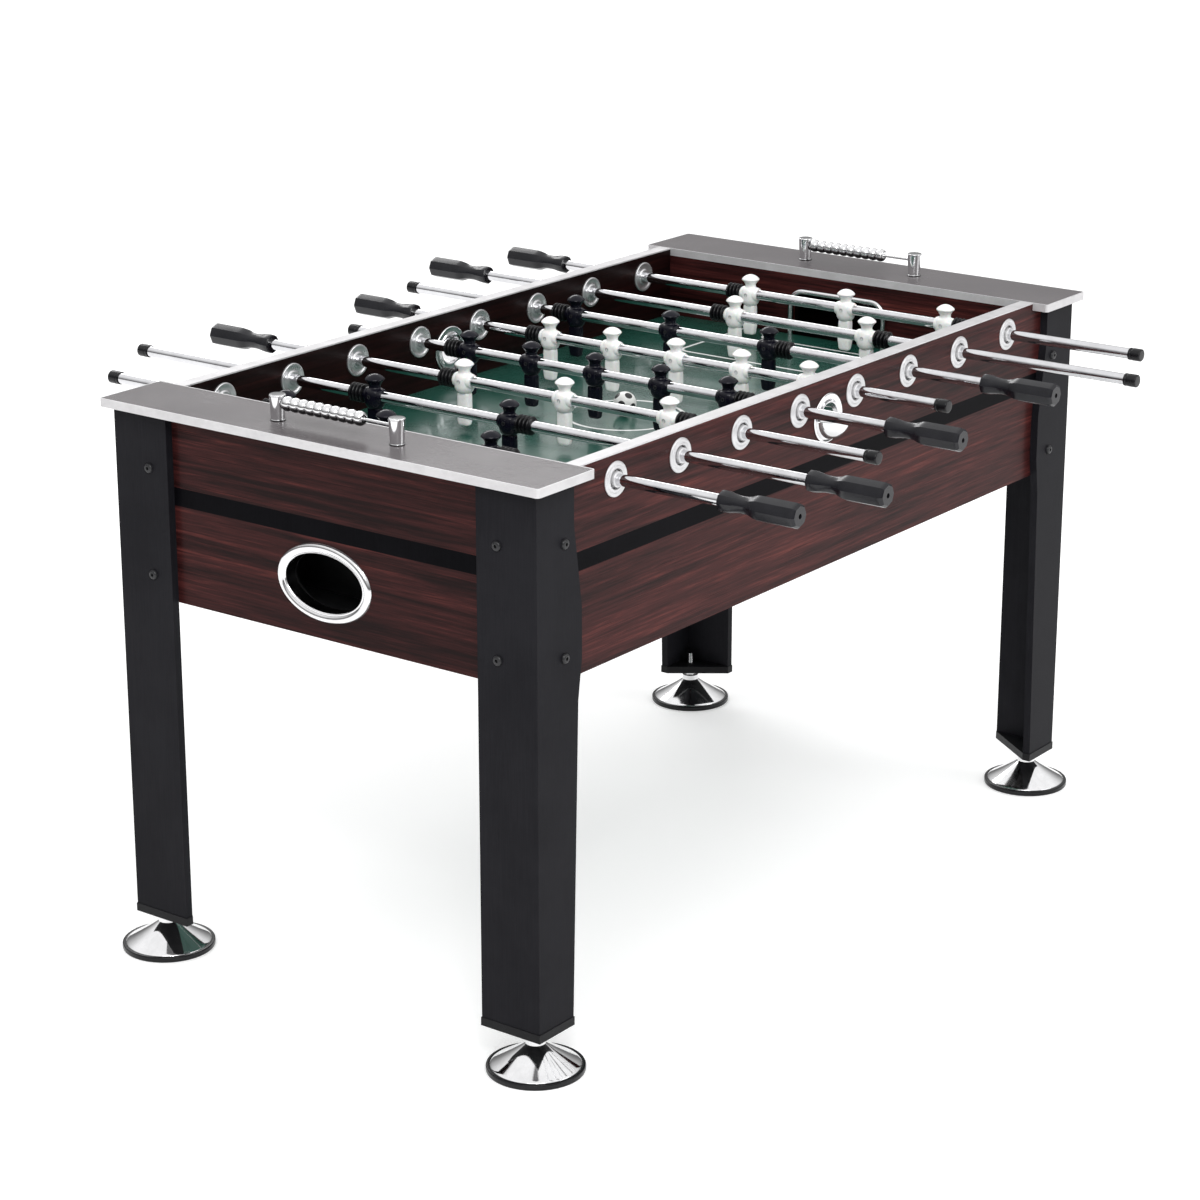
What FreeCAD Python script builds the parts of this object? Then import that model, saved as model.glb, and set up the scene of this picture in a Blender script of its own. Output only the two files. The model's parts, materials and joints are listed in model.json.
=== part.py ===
"""Foosball table: parametric document, millimetres, +Z up.

The origin is the centre of the floor rectangle under the table.  X runs along
the table (the near end is -X), Y runs across it (the front side is -Y).
"""
import FreeCAD, Part

import os
import re

import Sketcher

DOC = FreeCAD.newDocument("FoosballTable")
SHEET = DOC.addObject("Spreadsheet::Sheet", "dims")

# ---------------------------------------------------------------- driving dimensions
DIMENSIONS = [
    # cabinet
    ("table_length", 1400.0),     # over the end ledges
    ("table_width", 762.0),       # over the end ledges
    ("table_height", 820.0),      # floor to ledge top
    ("ledge_depth", 119.0),
    ("ledge_board", 12.0),
    ("ledge_overhang", 14.0),     # ledge past the leg faces
    ("ledge_corner", 5.0),
    ("band_width", 2.0),          # silver band round each ledge
    ("cap_board", 2.0),           # silver strip on each side wall
    ("cabinet_depth", 280.0),     # ledge top to the lower edge of the panels
    ("side_wall", 22.0),
    ("end_wall", 18.0),
    ("stripe_top", 114.0),        # below the ledge top
    ("stripe_width", 26.0),
    ("stripe_inlay", 2.0),
    ("field_drop", 112.0),        # ledge top to the playing surface
    ("field_board", 10.0),
    ("field_tongue", 6.0),        # how far the field runs into the side walls
    ("goal_wall", 12.0),
    # goals and ball return
    ("goal_width", 168.0),
    ("goal_height", 70.0),
    ("goal_tube", 9.0),
    ("goal_bend", 24.0),
    ("port_drop", 201.0),         # ledge top to the centre of the oval port
    ("port_length", 135.0),
    ("port_height", 80.0),
    ("port_sleeve", 2.0),
    ("port_flange", 15.0),
    ("port_lip", 5.0),
    ("box_wall", 3.0),
    ("box_width", 210.0),
    ("box_height", 130.0),
    ("box_gap", 0.5),
    # ball entry cups
    ("cup_drop", 60.0),
    ("cup_bore", 44.0),
    ("cup_shell", 3.0),
    ("cup_flange", 72.0),
    ("cup_plate", 3.0),
    ("cup_bowl", 60.0),           # across the outer half bowl
    ("cup_reach", 30.0),          # bowl past the outer flange
    # legs
    ("leg_board", 12.0),
    ("leg_foot_gap", 56.0),       # floor to the lower edge of a leg
    ("leg_end_width", 97.0),
    ("leg_top_width", 78.0),
    ("leg_wide_width", 94.0),
    ("leg_waist_width", 86.0),
    ("leg_low_width", 74.0),
    ("shoe_rise", 12.0),          # height of the shoe that closes a leg's foot
    ("shoe_proud", 1.0),          # how far a shoe stands out past the leg faces
    ("bolt_upper_drop", 90.0),
    ("bolt_lower_drop", 243.0),
    ("bolt_inset", 57.0),         # from the leg corner to a bolt
    ("bolt_shank", 6.0),
    ("bolt_head", 14.0),
    ("bolt_crown", 4.5),
    ("bolt_socket", 5.0),
    ("bolt_tail", 6.0),
    # levelers
    ("foot_diameter", 134.0),
    ("foot_ring", 8.0),
    ("foot_rim", 5.0),
    ("foot_neck", 28.0),
    ("foot_cone_top", 38.0),
    ("stem_diameter", 12.0),
    ("stem_inset", 18.0),         # stem axis to the inner faces of the leg boards
    ("stem_rise", 30.0),          # stem above the lower face of the shoe
    # rods
    ("axis_drop", 35.0),          # ledge top to the rod axes
    ("rod_pitch", 144.0),
    ("rod_diameter", 16.0),
    ("rod_wall", 2.0),
    ("running_gap", 0.05),        # radial clearance on the rod
    ("bearing_disc", 48.0),
    ("bearing_barrel", 26.0),
    ("bearing_plate", 3.0),
    ("bearing_hub", 24.0),
    ("bearing_nose", 6.0),
    ("stop_length", 26.0),
    ("stop_diameter", 27.0),
    ("stop_gap", 1.0),            # left between stop and bearing at full travel
    ("tip_length", 20.0),
    ("tip_wall", 1.5),            # rubber of a tip round the rod
    ("tip_reach", 62.0),          # rod tip past the wall at full travel
    ("grip_length", 118.0),
    ("grip_diameter", 34.0),
    ("grip_reach", 212.0),        # grip end past the wall at full travel
    ("grip_floor", 12.0),
    ("socket_gap", 0.5),          # left between a rod end and its grip or tip
    # players
    ("man_hub", 23.0),
    ("man_chest", 29.0),
    ("man_cap", 28.5),
    ("man_waist_fall", 17.0),     # rod axis to the lower edge of the jersey
    ("man_width", 32.0),          # over the hub, along the rod
    ("man_head_rise", 32.0),      # rod axis to the crown
    ("man_foot_fall", 66.0),      # rod axis to the sole
    ("foot_block_width", 22.0),
    ("foot_block_depth", 15.5),
    ("foot_block_height", 20.0),
    ("spacing_two", 243.0),
    ("spacing_three", 182.0),
    ("spacing_five", 117.5),
    # score counters
    ("counter_inset", 59.0),      # from the ledge's outer edge
    ("counter_span", 208.0),
    ("post_base", 23.0),
    ("post_crown", 20.0),
    ("post_rise", 36.0),
    ("wire_rise", 25.0),
    ("wire_diameter", 4.0),
    ("bead_diameter", 20.0),
    ("bead_length", 13.8),
    ("bead_pitch", 14.0),
    ("bead_gap", 0.3),
    # ball
    ("ball_diameter", 35.0),
    ("ball_gap", 0.5),
]

ALIASES = {name for name, _ in DIMENSIONS}
WORD = re.compile(r"[a-z]+(?:_[a-z]+)+")


def fill_sheet():
    """Write every driving dimension as text with its alias."""
    for row, (name, value) in enumerate(DIMENSIONS, start=1):
        SHEET.set("A%d" % row, name)
        SHEET.set("B%d" % row, str(value))
        SHEET.setAlias("B%d" % row, name)
    DOC.recompute()


fill_sheet()

# ------------------------------------------------ derived positions, as expressions
LEG_X = "(table_length/2 - ledge_overhang)"
LEG_Y = "(table_width/2 - ledge_overhang)"
FACE_X = "(table_length/2 - ledge_overhang - leg_board)"
FACE_Y = "(table_width/2 - ledge_overhang - leg_board)"
INNER_Y = "(table_width/2 - ledge_overhang - leg_board - side_wall)"
FIELD_X = "(table_length/2 - ledge_depth)"
LEDGE_Z = "(table_height - ledge_board)"
PANEL_Z = "(table_height - cabinet_depth)"
FIELD_Z = "(table_height - field_drop)"
AXIS_Z = "(table_height - axis_drop)"
PORT_Z = "(table_height - port_drop)"
CUP_Z = "(table_height - cup_drop)"
FOOT_X = "(table_length/2 - ledge_overhang - leg_board - stem_inset)"
FOOT_Y = "(table_width/2 - ledge_overhang - leg_board - stem_inset)"
BORE = "(rod_diameter/2 + running_gap)"
STOP_Y = "(table_width/2 - ledge_overhang - leg_board - side_wall - bearing_plate - stop_gap)"

# rod number -> (men, side of the grip, rest offset along Y)
RODS = {
    1: (3, -1, 32.0),
    2: (2, -1, 54.0),
    3: (3, 1, -53.0),
    4: (5, -1, 1.0),
    5: (5, 1, -41.0),
    6: (3, -1, 72.0),
    7: (2, 1, -71.0),
    8: (3, 1, -63.0),
}
SPACING = {2: "spacing_two", 3: "spacing_three", 5: "spacing_five"}
CORNERS = {
    "near_front": (-1, -1),
    "near_back": (-1, 1),
    "far_front": (1, -1),
    "far_back": (1, 1),
}
BEADS = 10
FINISHED = []


# ---------------------------------------------------------------- small helpers
def formula(text):
    """Turn a text with dimension names into an expression on the sheet."""
    return WORD.sub(lambda hit: ("dims." if hit.group(0) in ALIASES else "") + hit.group(0), str(text))


def size(text):
    """Value of an expression, read from the sheet."""
    names = {name: float(SHEET.get(name)) for name in ALIASES if name in text}
    for name in sorted(names, key=len, reverse=True):
        text = re.sub(r"\b%s\b" % name, repr(names[name]), text)
    return float(FreeCAD.Units.Quantity(text).Value)


def bind(item, **values):
    """Bind properties such as Length or Base_x to expressions."""
    for name, text in values.items():
        path = "Placement." + name.replace("_", ".") if name.startswith("Base_") else name
        item.setExpression(path, formula(text))


def turn(item, axis, angle):
    """Turn an object about an axis through its own origin."""
    item.Placement = FreeCAD.Placement(item.Placement.Base, FreeCAD.Rotation(FreeCAD.Vector(*axis), angle))


def place(item, x="0", y="0", z="0"):
    """Bind the position of an object."""
    bind(item, Base_x=x, Base_y=y, Base_z=z)
    return item


def block(length, width, height, x, y, z):
    """Box from its sizes and the coordinates of its lowest corner."""
    item = DOC.addObject("Part::Box", "Block")
    bind(item, Length=length, Width=width, Height=height)
    return place(item, x, y, z)


def bar(radius, length, x, y, z, axis="z"):
    """Cylinder that starts at a point and runs along +X, +Y or +Z."""
    item = DOC.addObject("Part::Cylinder", "Bar")
    bind(item, Radius=radius, Height=length)
    if axis == "x":
        turn(item, (0, 1, 0), 90)
    if axis == "y":
        turn(item, (1, 0, 0), -90)
    return place(item, x, y, z)


def oval(long_radius, short_radius, length, x, y, z):
    """Solid of oval section: the long radius along Y, the length along +X."""
    edge = DOC.addObject("Part::Ellipse", "Oval")
    bind(edge, MajorRadius=long_radius, MinorRadius=short_radius)
    item = DOC.addObject("Part::Extrusion", "OvalBar")
    item.Base = edge
    item.DirMode = "Custom"
    item.Dir = FreeCAD.Vector(0, 0, 1)
    item.Solid = True
    bind(item, LengthFwd=length)
    item.Placement.Rotation = FreeCAD.Rotation(
        FreeCAD.Vector(0, 1, 0), FreeCAD.Vector(0, 0, 1), FreeCAD.Vector(1, 0, 0), "XYZ")
    return place(item, x, y, z)


def cut(base, tool):
    """Base with the tool taken away."""
    item = DOC.addObject("Part::Cut", "Cut")
    item.Base = base
    item.Tool = tool
    return item


def fuse(pieces):
    """One solid from several that touch."""
    item = DOC.addObject("Part::MultiFuse", "Fuse")
    item.Shapes = pieces
    item.Refine = True
    return item


def gather(pieces):
    """Several pieces kept as separate solids."""
    item = DOC.addObject("Part::Compound", "Group")
    item.Links = pieces
    return item


def mirror(item, axis):
    """Copy of an object mirrored through the origin across one axis."""
    copy = DOC.addObject("Part::Mirroring", "Mirror")
    copy.Source = item
    copy.Normal = FreeCAD.Vector(*axis)
    return copy


def copy_at(item, x="0", y="0", z="0", angle=0.0, axis=(0, 0, 1)):
    """Linked copy of an object, turned and then moved."""
    link = DOC.addObject("App::Link", "Copy")
    link.LinkedObject = item
    link.Placement.Rotation = FreeCAD.Rotation(FreeCAD.Vector(*axis), angle)
    return place(link, x, y, z)


def finish(item, label):
    """Name a sub-part and put it on the list of nodes."""
    item.Label = label
    FINISHED.append(item)
    return item


def sketch_outline(body, plane, points):
    """Closed sketch of straight lines, each corner bound to the sheet."""
    sketch = body.newObject("Sketcher::SketchObject", "Outline")
    origin = [part for part in body.Origin.OriginFeatures if part.Role == plane][0]
    sketch.AttachmentSupport = [(origin, "")]
    sketch.MapMode = "FlatFace"
    places = [FreeCAD.Vector(size(x), size(y), 0) for x, y in points]
    count = len(places)
    for index in range(count):
        sketch.addGeometry(Part.LineSegment(places[index], places[(index + 1) % count]), False)
    for index in range(count):
        sketch.addConstraint(Sketcher.Constraint("Coincident", index, 2, (index + 1) % count, 1))
    for index, corner in enumerate(points):
        for kind, text in (("DistanceX", corner[0]), ("DistanceY", corner[1])):
            number = sketch.addConstraint(Sketcher.Constraint(kind, -1, 1, index, 1, size(text)))
            sketch.setExpression("Constraints[%d]" % number, formula(text))
    return sketch


def lathe(points):
    """Body turned about its own Z axis from (radius, height) corners."""
    body = DOC.addObject("PartDesign::Body", "Turned")
    sketch = sketch_outline(body, "XZ_Plane", points)
    feature = body.newObject("PartDesign::Revolution", "Revolution")
    feature.Profile = sketch
    feature.ReferenceAxis = (sketch, ["V_Axis"])
    feature.Angle = 360.0
    return body


def plate(points, depth, plane="XZ_Plane"):
    """Body padded from its corners: along -Y from the XZ plane, along +Z from the XY plane."""
    body = DOC.addObject("PartDesign::Body", "Plate")
    sketch = sketch_outline(body, plane, points)
    feature = body.newObject("PartDesign::Pad", "Pad")
    feature.Profile = sketch
    feature.setExpression("Length", formula(depth))
    return body


# ---------------------------------------------------------------- shared positions
def rod_x(number):
    """Position of a rod along the table."""
    return "((%s) * rod_pitch)" % (number - 4.5)


def travel(men):
    """How far a rod with this many men slides to each side of its centre."""
    return "(%s - (%s) * %s - man_width/2 - stop_length)" % (STOP_Y, (men - 1) / 2.0, SPACING[men])


def bolt_sites():
    """Every bolt as (x, y, z, angle): the head looks outward at that angle about Z."""
    sites = []
    for drop in ("bolt_upper_drop", "bolt_lower_drop"):
        level = "(table_height - %s)" % drop
        for sign_x, sign_y in CORNERS.values():
            side_x = "(%d * (%s - bolt_inset))" % (sign_x, LEG_X)
            end_y = "(%d * (%s - bolt_inset - bolt_tail))" % (sign_y, LEG_Y)
            sites.append((side_x, "(%d * %s)" % (sign_y, LEG_Y), level, 90.0 * sign_y))
            sites.append(("(%d * %s)" % (sign_x, LEG_X), end_y, level, 90.0 - 90.0 * sign_x))
    return sites


def bolt_holes(face_axis):
    """Cylinders that clear the bolt shanks through boards facing X or Y."""
    holes = []
    for x, y, level, angle in bolt_sites():
        along_y = angle in (90.0, -90.0)
        if along_y == (face_axis == "y"):
            hole = bar("bolt_shank/2", "2 * (leg_board + side_wall + bolt_tail)", x, y, level, face_axis)
            start = "- leg_board - side_wall - bolt_tail"
            if along_y:
                place(hole, x, y + start, level)
            else:
                place(hole, x + start, y, level)
            holes.append(hole)
    return holes


# ---------------------------------------------------------------- cabinet
def side_panels():
    """Long walls: notched under the ledges, bored for rods and the entry cup."""
    for sign, label in ((-1, "side_panel_front"), (1, "side_panel_back")):
        low_y = "-" + FACE_Y if sign < 0 else INNER_Y
        wall = block("2 * " + FACE_X, "side_wall", "cabinet_depth - cap_board", "-" + FACE_X, low_y, PANEL_Z)
        tools = []
        for end in (-1, 1):
            start = FIELD_X if end > 0 else "-%s - ledge_depth" % FIELD_X
            tools.append(block("ledge_depth", "side_wall", "ledge_board", start, low_y, LEDGE_Z))
        for number in RODS:
            tools.append(bar("bearing_barrel/2", "side_wall", rod_x(number), low_y, AXIS_Z, "y"))
        tools.append(bar("cup_bore/2 + cup_shell", "side_wall", "0", low_y, CUP_Z, "y"))
        groove_y = "-%s - field_tongue" % INNER_Y if sign < 0 else INNER_Y
        tools.append(block("2 * " + FIELD_X, "field_tongue", "field_board", "-" + FIELD_X, groove_y,
                           FIELD_Z + " - field_board"))
        inlay_y = "-" + FACE_Y if sign < 0 else FACE_Y + " - stripe_inlay"
        tools.append(block("2 * " + FACE_X, "stripe_inlay", "stripe_width", "-" + FACE_X, inlay_y,
                           "table_height - stripe_top - stripe_width"))
        tools.extend(bolt_holes("y"))
        finish(cut(wall, gather(tools)), label)


def end_panels():
    """Short walls between the long ones, each with the oval ball-return port."""
    for sign, label in ((-1, "end_panel_near"), (1, "end_panel_far")):
        low_x = "-" + FACE_X if sign < 0 else FACE_X + " - end_wall"
        wall = block("end_wall", "2 * " + INNER_Y, "cabinet_depth - ledge_board",
                     low_x, "-" + INNER_Y, PANEL_Z)
        port = oval("port_length/2 + port_sleeve", "port_height/2 + port_sleeve", "end_wall",
                    low_x, "0", PORT_Z)
        inlay_x = "-" + FACE_X if sign < 0 else FACE_X + " - stripe_inlay"
        stripe = block("stripe_inlay", "2 * " + INNER_Y, "stripe_width", inlay_x, "-" + INNER_Y,
                       "table_height - stripe_top - stripe_width")
        finish(cut(wall, gather([port, stripe] + bolt_holes("x"))), label)


def goal_walls():
    """Inner end boards with the goal mouths, down to the lower edge of the panels."""
    walls = []
    for sign in (-1, 1):
        low_x = "-%s - goal_wall" % FIELD_X if sign < 0 else FIELD_X
        wall = block("goal_wall", "2 * " + INNER_Y, "cabinet_depth - ledge_board",
                     low_x, "-" + INNER_Y, PANEL_Z)
        mouth = block("goal_wall", "goal_width", "goal_height", low_x, "-goal_width/2", FIELD_Z)
        walls.append(cut(wall, mouth))
    finish(gather(walls), "goal_walls")


def playfield():
    """Flat field board held in the grooves of the side walls."""
    board = block("2 * " + FIELD_X, "2 * (%s + field_tongue)" % INNER_Y, "field_board",
                  "-" + FIELD_X, "-%s - field_tongue" % INNER_Y, FIELD_Z + " - field_board")
    finish(board, "playfield")


def rounded_board(length, width, height, x, y, z, radius):
    """Board with its four upright corners rounded."""
    board = block(length, width, height, x, y, z)
    item = DOC.addObject("Part::Fillet", "Rounded")
    item.Base = board
    DOC.recompute()
    item.Edges = [(number, size(radius), size(radius)) for number in (1, 3, 5, 7)]
    return item


def ledges_and_trims():
    """End ledges in their silver bands, and the silver strips on the side walls."""
    boards = []
    trims = []
    for sign in (-1, 1):
        low_x = "-table_length/2" if sign < 0 else FIELD_X
        whole = rounded_board("ledge_depth", "table_width", "ledge_board", low_x, "-table_width/2", LEDGE_Z,
                              "ledge_corner")
        core = rounded_board("ledge_depth - 2 * band_width", "table_width - 2 * band_width", "ledge_board",
                             low_x + " + band_width", "-table_width/2 + band_width", LEDGE_Z,
                             "ledge_corner - band_width")
        trims.append(cut(whole, core))
        boards.append(core)
    for sign in (-1, 1):
        low_y = "-" + FACE_Y if sign < 0 else INNER_Y
        trims.append(block("2 * " + FIELD_X, "side_wall", "cap_board", "-" + FIELD_X, low_y,
                           "table_height - cap_board"))
    finish(gather(boards), "end_ledges")
    finish(gather(trims), "silver_trims")


def accent_stripes():
    """Black inlays along all four sides of the cabinet, bored where bolts pass."""
    level = "table_height - stripe_top - stripe_width"
    strips = []
    for sign in (-1, 1):
        low_y = "-" + FACE_Y if sign < 0 else FACE_Y + " - stripe_inlay"
        low_x = "-" + FACE_X if sign < 0 else FACE_X + " - stripe_inlay"
        strips.append(block("2 * " + FACE_X, "stripe_inlay", "stripe_width", "-" + FACE_X, low_y, level))
        strips.append(block("stripe_inlay", "2 * " + INNER_Y, "stripe_width", low_x, "-" + INNER_Y, level))
    finish(gather(strips), "accent_stripes")


# ---------------------------------------------------------------- goals and ball return
def goal_frames():
    """Chrome tube round each goal mouth, with rounded upper corners."""
    frames = []
    half = "(goal_width/2 + goal_tube/2)"
    crown = "(%s + goal_height + goal_tube/2)" % FIELD_Z
    for sign in (-1, 1):
        x = "%d * (%s - goal_tube/2)" % (sign, FIELD_X)
        pieces = [bar("goal_tube/2", "2 * (%s - goal_bend)" % half, x, "-%s + goal_bend" % half, crown, "y")]
        for side in (-1, 1):
            pieces.append(bar("goal_tube/2", "goal_height + goal_tube/2 - goal_bend", x,
                              "%d * %s" % (side, half), FIELD_Z))
            bend = DOC.addObject("Part::Torus", "Bend")
            bind(bend, Radius1="goal_bend", Radius2="goal_tube/2")
            bend.Angle3 = 90.0
            upright = FreeCAD.Rotation(FreeCAD.Vector(0, side, 0), FreeCAD.Vector(0, 0, 1),
                                       FreeCAD.Vector(side, 0, 0), "XYZ")
            bend.Placement.Rotation = upright
            place(bend, x, "%d * (%s - goal_bend)" % (side, half), crown + " - goal_bend")
            pieces.append(bend)
        frames.append(fuse(pieces))
    finish(gather(frames), "goal_frames")


def port_rings():
    """Chrome oval rings: a flange on the panel and a sleeve through it."""
    rings = []
    for sign in (-1, 1):
        lip_x = "-%s - port_lip" % FACE_X if sign < 0 else FACE_X
        low_x = "-%s - port_lip" % FACE_X if sign < 0 else FACE_X + " - end_wall"
        long_side = "port_length/2"
        short_side = "port_height/2"
        flange = oval(long_side + " + port_flange", short_side + " + port_flange", "port_lip",
                      lip_x, "0", PORT_Z)
        sleeve = oval(long_side + " + port_sleeve", short_side + " + port_sleeve", "end_wall + port_lip",
                      low_x, "0", PORT_Z)
        mouth = oval(long_side, short_side, "end_wall + port_lip", low_x, "0", PORT_Z)
        rings.append(cut(fuse([flange, sleeve]), mouth))
    finish(gather(rings), "port_rings")


def return_boxes():
    """Open-topped boxes between goal wall and end panel; a port-shaped side opening."""
    boxes = []
    depth = "(%s - end_wall - %s - goal_wall - 2 * box_gap)" % (FACE_X, FIELD_X)
    for sign in (-1, 1):
        near = "(%s + goal_wall + box_gap)" % FIELD_X
        low_x = near if sign > 0 else "(-%s - %s)" % (near, depth)
        low_z = "(%s - port_height/2 - 2 * box_wall)" % PORT_Z
        shell = block(depth, "box_width", "box_height", low_x, "-box_width/2", low_z)
        hollow = block(depth + " - 2 * box_wall", "box_width - 2 * box_wall", "box_height",
                       low_x + " + box_wall", "-box_width/2 + box_wall", low_z + " + box_wall")
        window_x = low_x if sign < 0 else "%s + %s - box_wall" % (low_x, depth)
        window = oval("port_length/2", "port_height/2", "box_wall", window_x, "0", PORT_Z)
        boxes.append(cut(shell, gather([hollow, window])))
    finish(gather(boxes), "return_boxes")


def ball_cups():
    """Entry cups through the side walls: flanges, throat and an outer half bowl."""
    rim = "(cup_bore/2 + cup_shell)"
    length = "(side_wall + 2 * cup_plate)"
    throat = lathe([
        ("cup_bore/2", "0"),
        ("cup_flange/2", "0"),
        ("cup_flange/2", "cup_plate"),
        (rim, "cup_plate"),
        (rim, "cup_plate + side_wall"),
        ("cup_flange/2", "cup_plate + side_wall"),
        ("cup_flange/2", length),
        ("cup_bore/2", length),
    ])
    outer = "(cup_bowl/2)"
    inner = "(cup_bowl/2 - cup_shell)"
    depth = "(cup_reach - cup_shell)"
    lip = lathe([
        (inner, "0"),
        (outer, "0"),
        ("0.92 * " + outer, "0.42 * cup_reach"),
        ("0.70 * " + outer, "0.75 * cup_reach"),
        ("0.36 * " + outer, "0.95 * cup_reach"),
        ("0", "cup_reach"),
        ("0", depth),
        ("0.36 * " + inner, "0.95 * " + depth),
        ("0.70 * " + inner, "0.75 * " + depth),
        ("0.92 * " + inner, "0.42 * " + depth),
    ])
    turn(lip, (1, 0, 0), 180)
    keep = block("cup_flange", "cup_flange/2", "cup_reach", "-cup_flange/2", "0", "-cup_reach")
    half_cup = DOC.addObject("Part::Common", "HalfCup")
    half_cup.Base = lip
    half_cup.Tool = keep
    front = fuse([throat, half_cup])
    turn(front, (1, 0, 0), -90)
    place(front, "0", "-%s - cup_plate" % FACE_Y, CUP_Z)
    back = mirror(front, (0, 1, 0))
    finish(gather([front, back]), "ball_cups")


def ball():
    """Ball on the centre spot."""
    item = DOC.addObject("Part::Sphere", "Ball")
    bind(item, Radius="ball_diameter/2")
    place(item, "0", "0", "%s + ball_diameter/2 + ball_gap" % FIELD_Z)
    finish(item, "ball")


# ---------------------------------------------------------------- legs
def leg_solid():
    """L-shaped leg in the (+X, +Y) corner: constant end board, shaped side board."""
    rise = "(table_height - ledge_board - leg_foot_gap - shoe_rise)"
    foot = "leg_foot_gap + shoe_rise"
    end_board = block("leg_board", "leg_end_width", rise,
                      LEG_X + " - leg_board", LEG_Y + " - leg_end_width", foot)
    side_board = plate([
        ("0", "0"),
        ("leg_low_width", "0"),
        ("leg_waist_width", "0.60 * " + rise),
        ("leg_wide_width", "0.675 * " + rise),
        ("leg_wide_width", "0.77 * " + rise),
        ("leg_top_width", "0.92 * " + rise),
        ("leg_top_width", rise),
        ("0", rise),
    ], "leg_board")
    turn(side_board, (0, 0, 1), 180)
    place(side_board, LEG_X, LEG_Y + " - leg_board", foot)
    return fuse([end_board, side_board])


def legs():
    """Four legs, bored for their bolts."""
    base = leg_solid()
    for corner, (sign_x, sign_y) in CORNERS.items():
        item = base
        if sign_x < 0:
            item = mirror(item, (1, 0, 0))
        if sign_y < 0:
            item = mirror(item, (0, 1, 0))
        finish(cut(item, gather(bolt_holes("x") + bolt_holes("y"))), "leg_" + corner)


def leg_shoes():
    """Three-cornered shoes that close the feet of the legs, bored for the leveler stems."""
    far_x = LEG_X + " + shoe_proud"
    far_y = LEG_Y + " + shoe_proud"
    tip_x = LEG_X + " - leg_low_width - shoe_proud"
    tip_y = LEG_Y + " - leg_end_width - shoe_proud"
    outline = [(far_x, far_y), (tip_x, far_y), (tip_x, FACE_Y), (FACE_X, tip_y), (far_x, tip_y)]
    slab = plate(outline, "shoe_rise", "XY_Plane")
    place(slab, "0", "0", "leg_foot_gap")
    bored = cut(slab, bar("stem_diameter/2 + running_gap", "shoe_rise", FOOT_X, FOOT_Y, "leg_foot_gap"))
    across = mirror(bored, (1, 0, 0))
    shoes = [bored, across, mirror(bored, (0, 1, 0)), mirror(across, (0, 1, 0))]
    finish(gather(shoes), "leg_shoes")


def leg_bolts():
    """Button-head bolts with a hex socket, through leg and panel."""
    reach = "(leg_board + side_wall)"
    bolt = lathe([
        ("0", "-bolt_tail - " + reach),
        ("bolt_shank/2", "-bolt_tail - " + reach),
        ("bolt_shank/2", "0"),
        ("bolt_head/2", "0"),
        ("bolt_head/2", "bolt_crown/3"),
        ("bolt_head/3", "bolt_crown"),
        ("0", "bolt_crown"),
    ])
    socket = DOC.addObject("Part::Prism", "Socket")
    socket.Polygon = 6
    bind(socket, Circumradius="bolt_socket/2", Height="bolt_crown/2")
    place(socket, "0", "0", "bolt_crown/2")
    whole = cut(bolt, socket)
    bolts = []
    for x, y, level, angle in bolt_sites():
        link = DOC.addObject("App::Link", "Bolt")
        link.LinkedObject = whole
        outward = FreeCAD.Rotation(FreeCAD.Vector(0, 0, 1), angle)
        link.Placement.Rotation = outward.multiply(FreeCAD.Rotation(FreeCAD.Vector(0, 1, 0), 90))
        bolts.append(place(link, x, y, level))
    finish(gather(bolts), "leg_bolts")


def levelers():
    """Screw feet: rubber ring, chrome cone, neck and a stem up through the shoe."""
    ring = lathe([
        ("foot_diameter/2 - 2 * foot_rim", "0"),
        ("foot_diameter/2", "0"),
        ("foot_diameter/2", "foot_ring"),
        ("foot_diameter/2 - foot_rim", "foot_ring"),
        ("foot_diameter/2 - 2 * foot_rim", "foot_ring/2"),
    ])
    cone = lathe([
        ("0", "foot_ring/2"),
        ("foot_diameter/2 - 2 * foot_rim", "foot_ring/2"),
        ("foot_diameter/2 - foot_rim", "foot_ring"),
        ("foot_neck/2", "foot_cone_top"),
        ("foot_neck/2", "leg_foot_gap - 1"),
        ("stem_diameter/2", "leg_foot_gap - 1"),
        ("stem_diameter/2", "leg_foot_gap + stem_rise"),
        ("0", "leg_foot_gap + stem_rise"),
    ])
    for corner, (sign_x, sign_y) in CORNERS.items():
        x = "%d * %s" % (sign_x, FOOT_X)
        y = "%d * %s" % (sign_y, FOOT_Y)
        finish(gather([copy_at(ring, x, y), copy_at(cone, x, y)]), "leveler_" + corner)


# ---------------------------------------------------------------- rods
def bearings():
    """Outer flanged bushes with a barrel through the wall, and inner dished rings."""
    face = "bearing_plate"
    bush = lathe([
        (BORE, "-bearing_nose"),
        ("bearing_hub/2 - 2", "-bearing_nose"),
        ("bearing_hub/2", "-" + face),
        ("bearing_disc/2 - 2", "-" + face),
        ("bearing_disc/2", "0"),
        ("bearing_barrel/2", "0"),
        ("bearing_barrel/2", "side_wall"),
        (BORE, "side_wall"),
    ])
    ring = lathe([
        (BORE, "0"),
        ("bearing_disc/2", "0"),
        ("bearing_disc/2", face),
        ("bearing_disc/2 - 3", face),
        ("bearing_hub/2", face + "/2"),
        ("bearing_hub/2 - 2", face),
        (BORE, face),
    ])
    pieces = []
    for number in RODS:
        for sign in (-1, 1):
            pieces.append(copy_at(bush, rod_x(number), "%d * %s" % (sign, FACE_Y), AXIS_Z,
                                  90.0 * sign, (1, 0, 0)))
            pieces.append(copy_at(ring, rod_x(number), "%d * %s" % (sign, INNER_Y), AXIS_Z,
                                  90.0 * sign, (1, 0, 0)))
    finish(gather(pieces), "rod_bearings")


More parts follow.
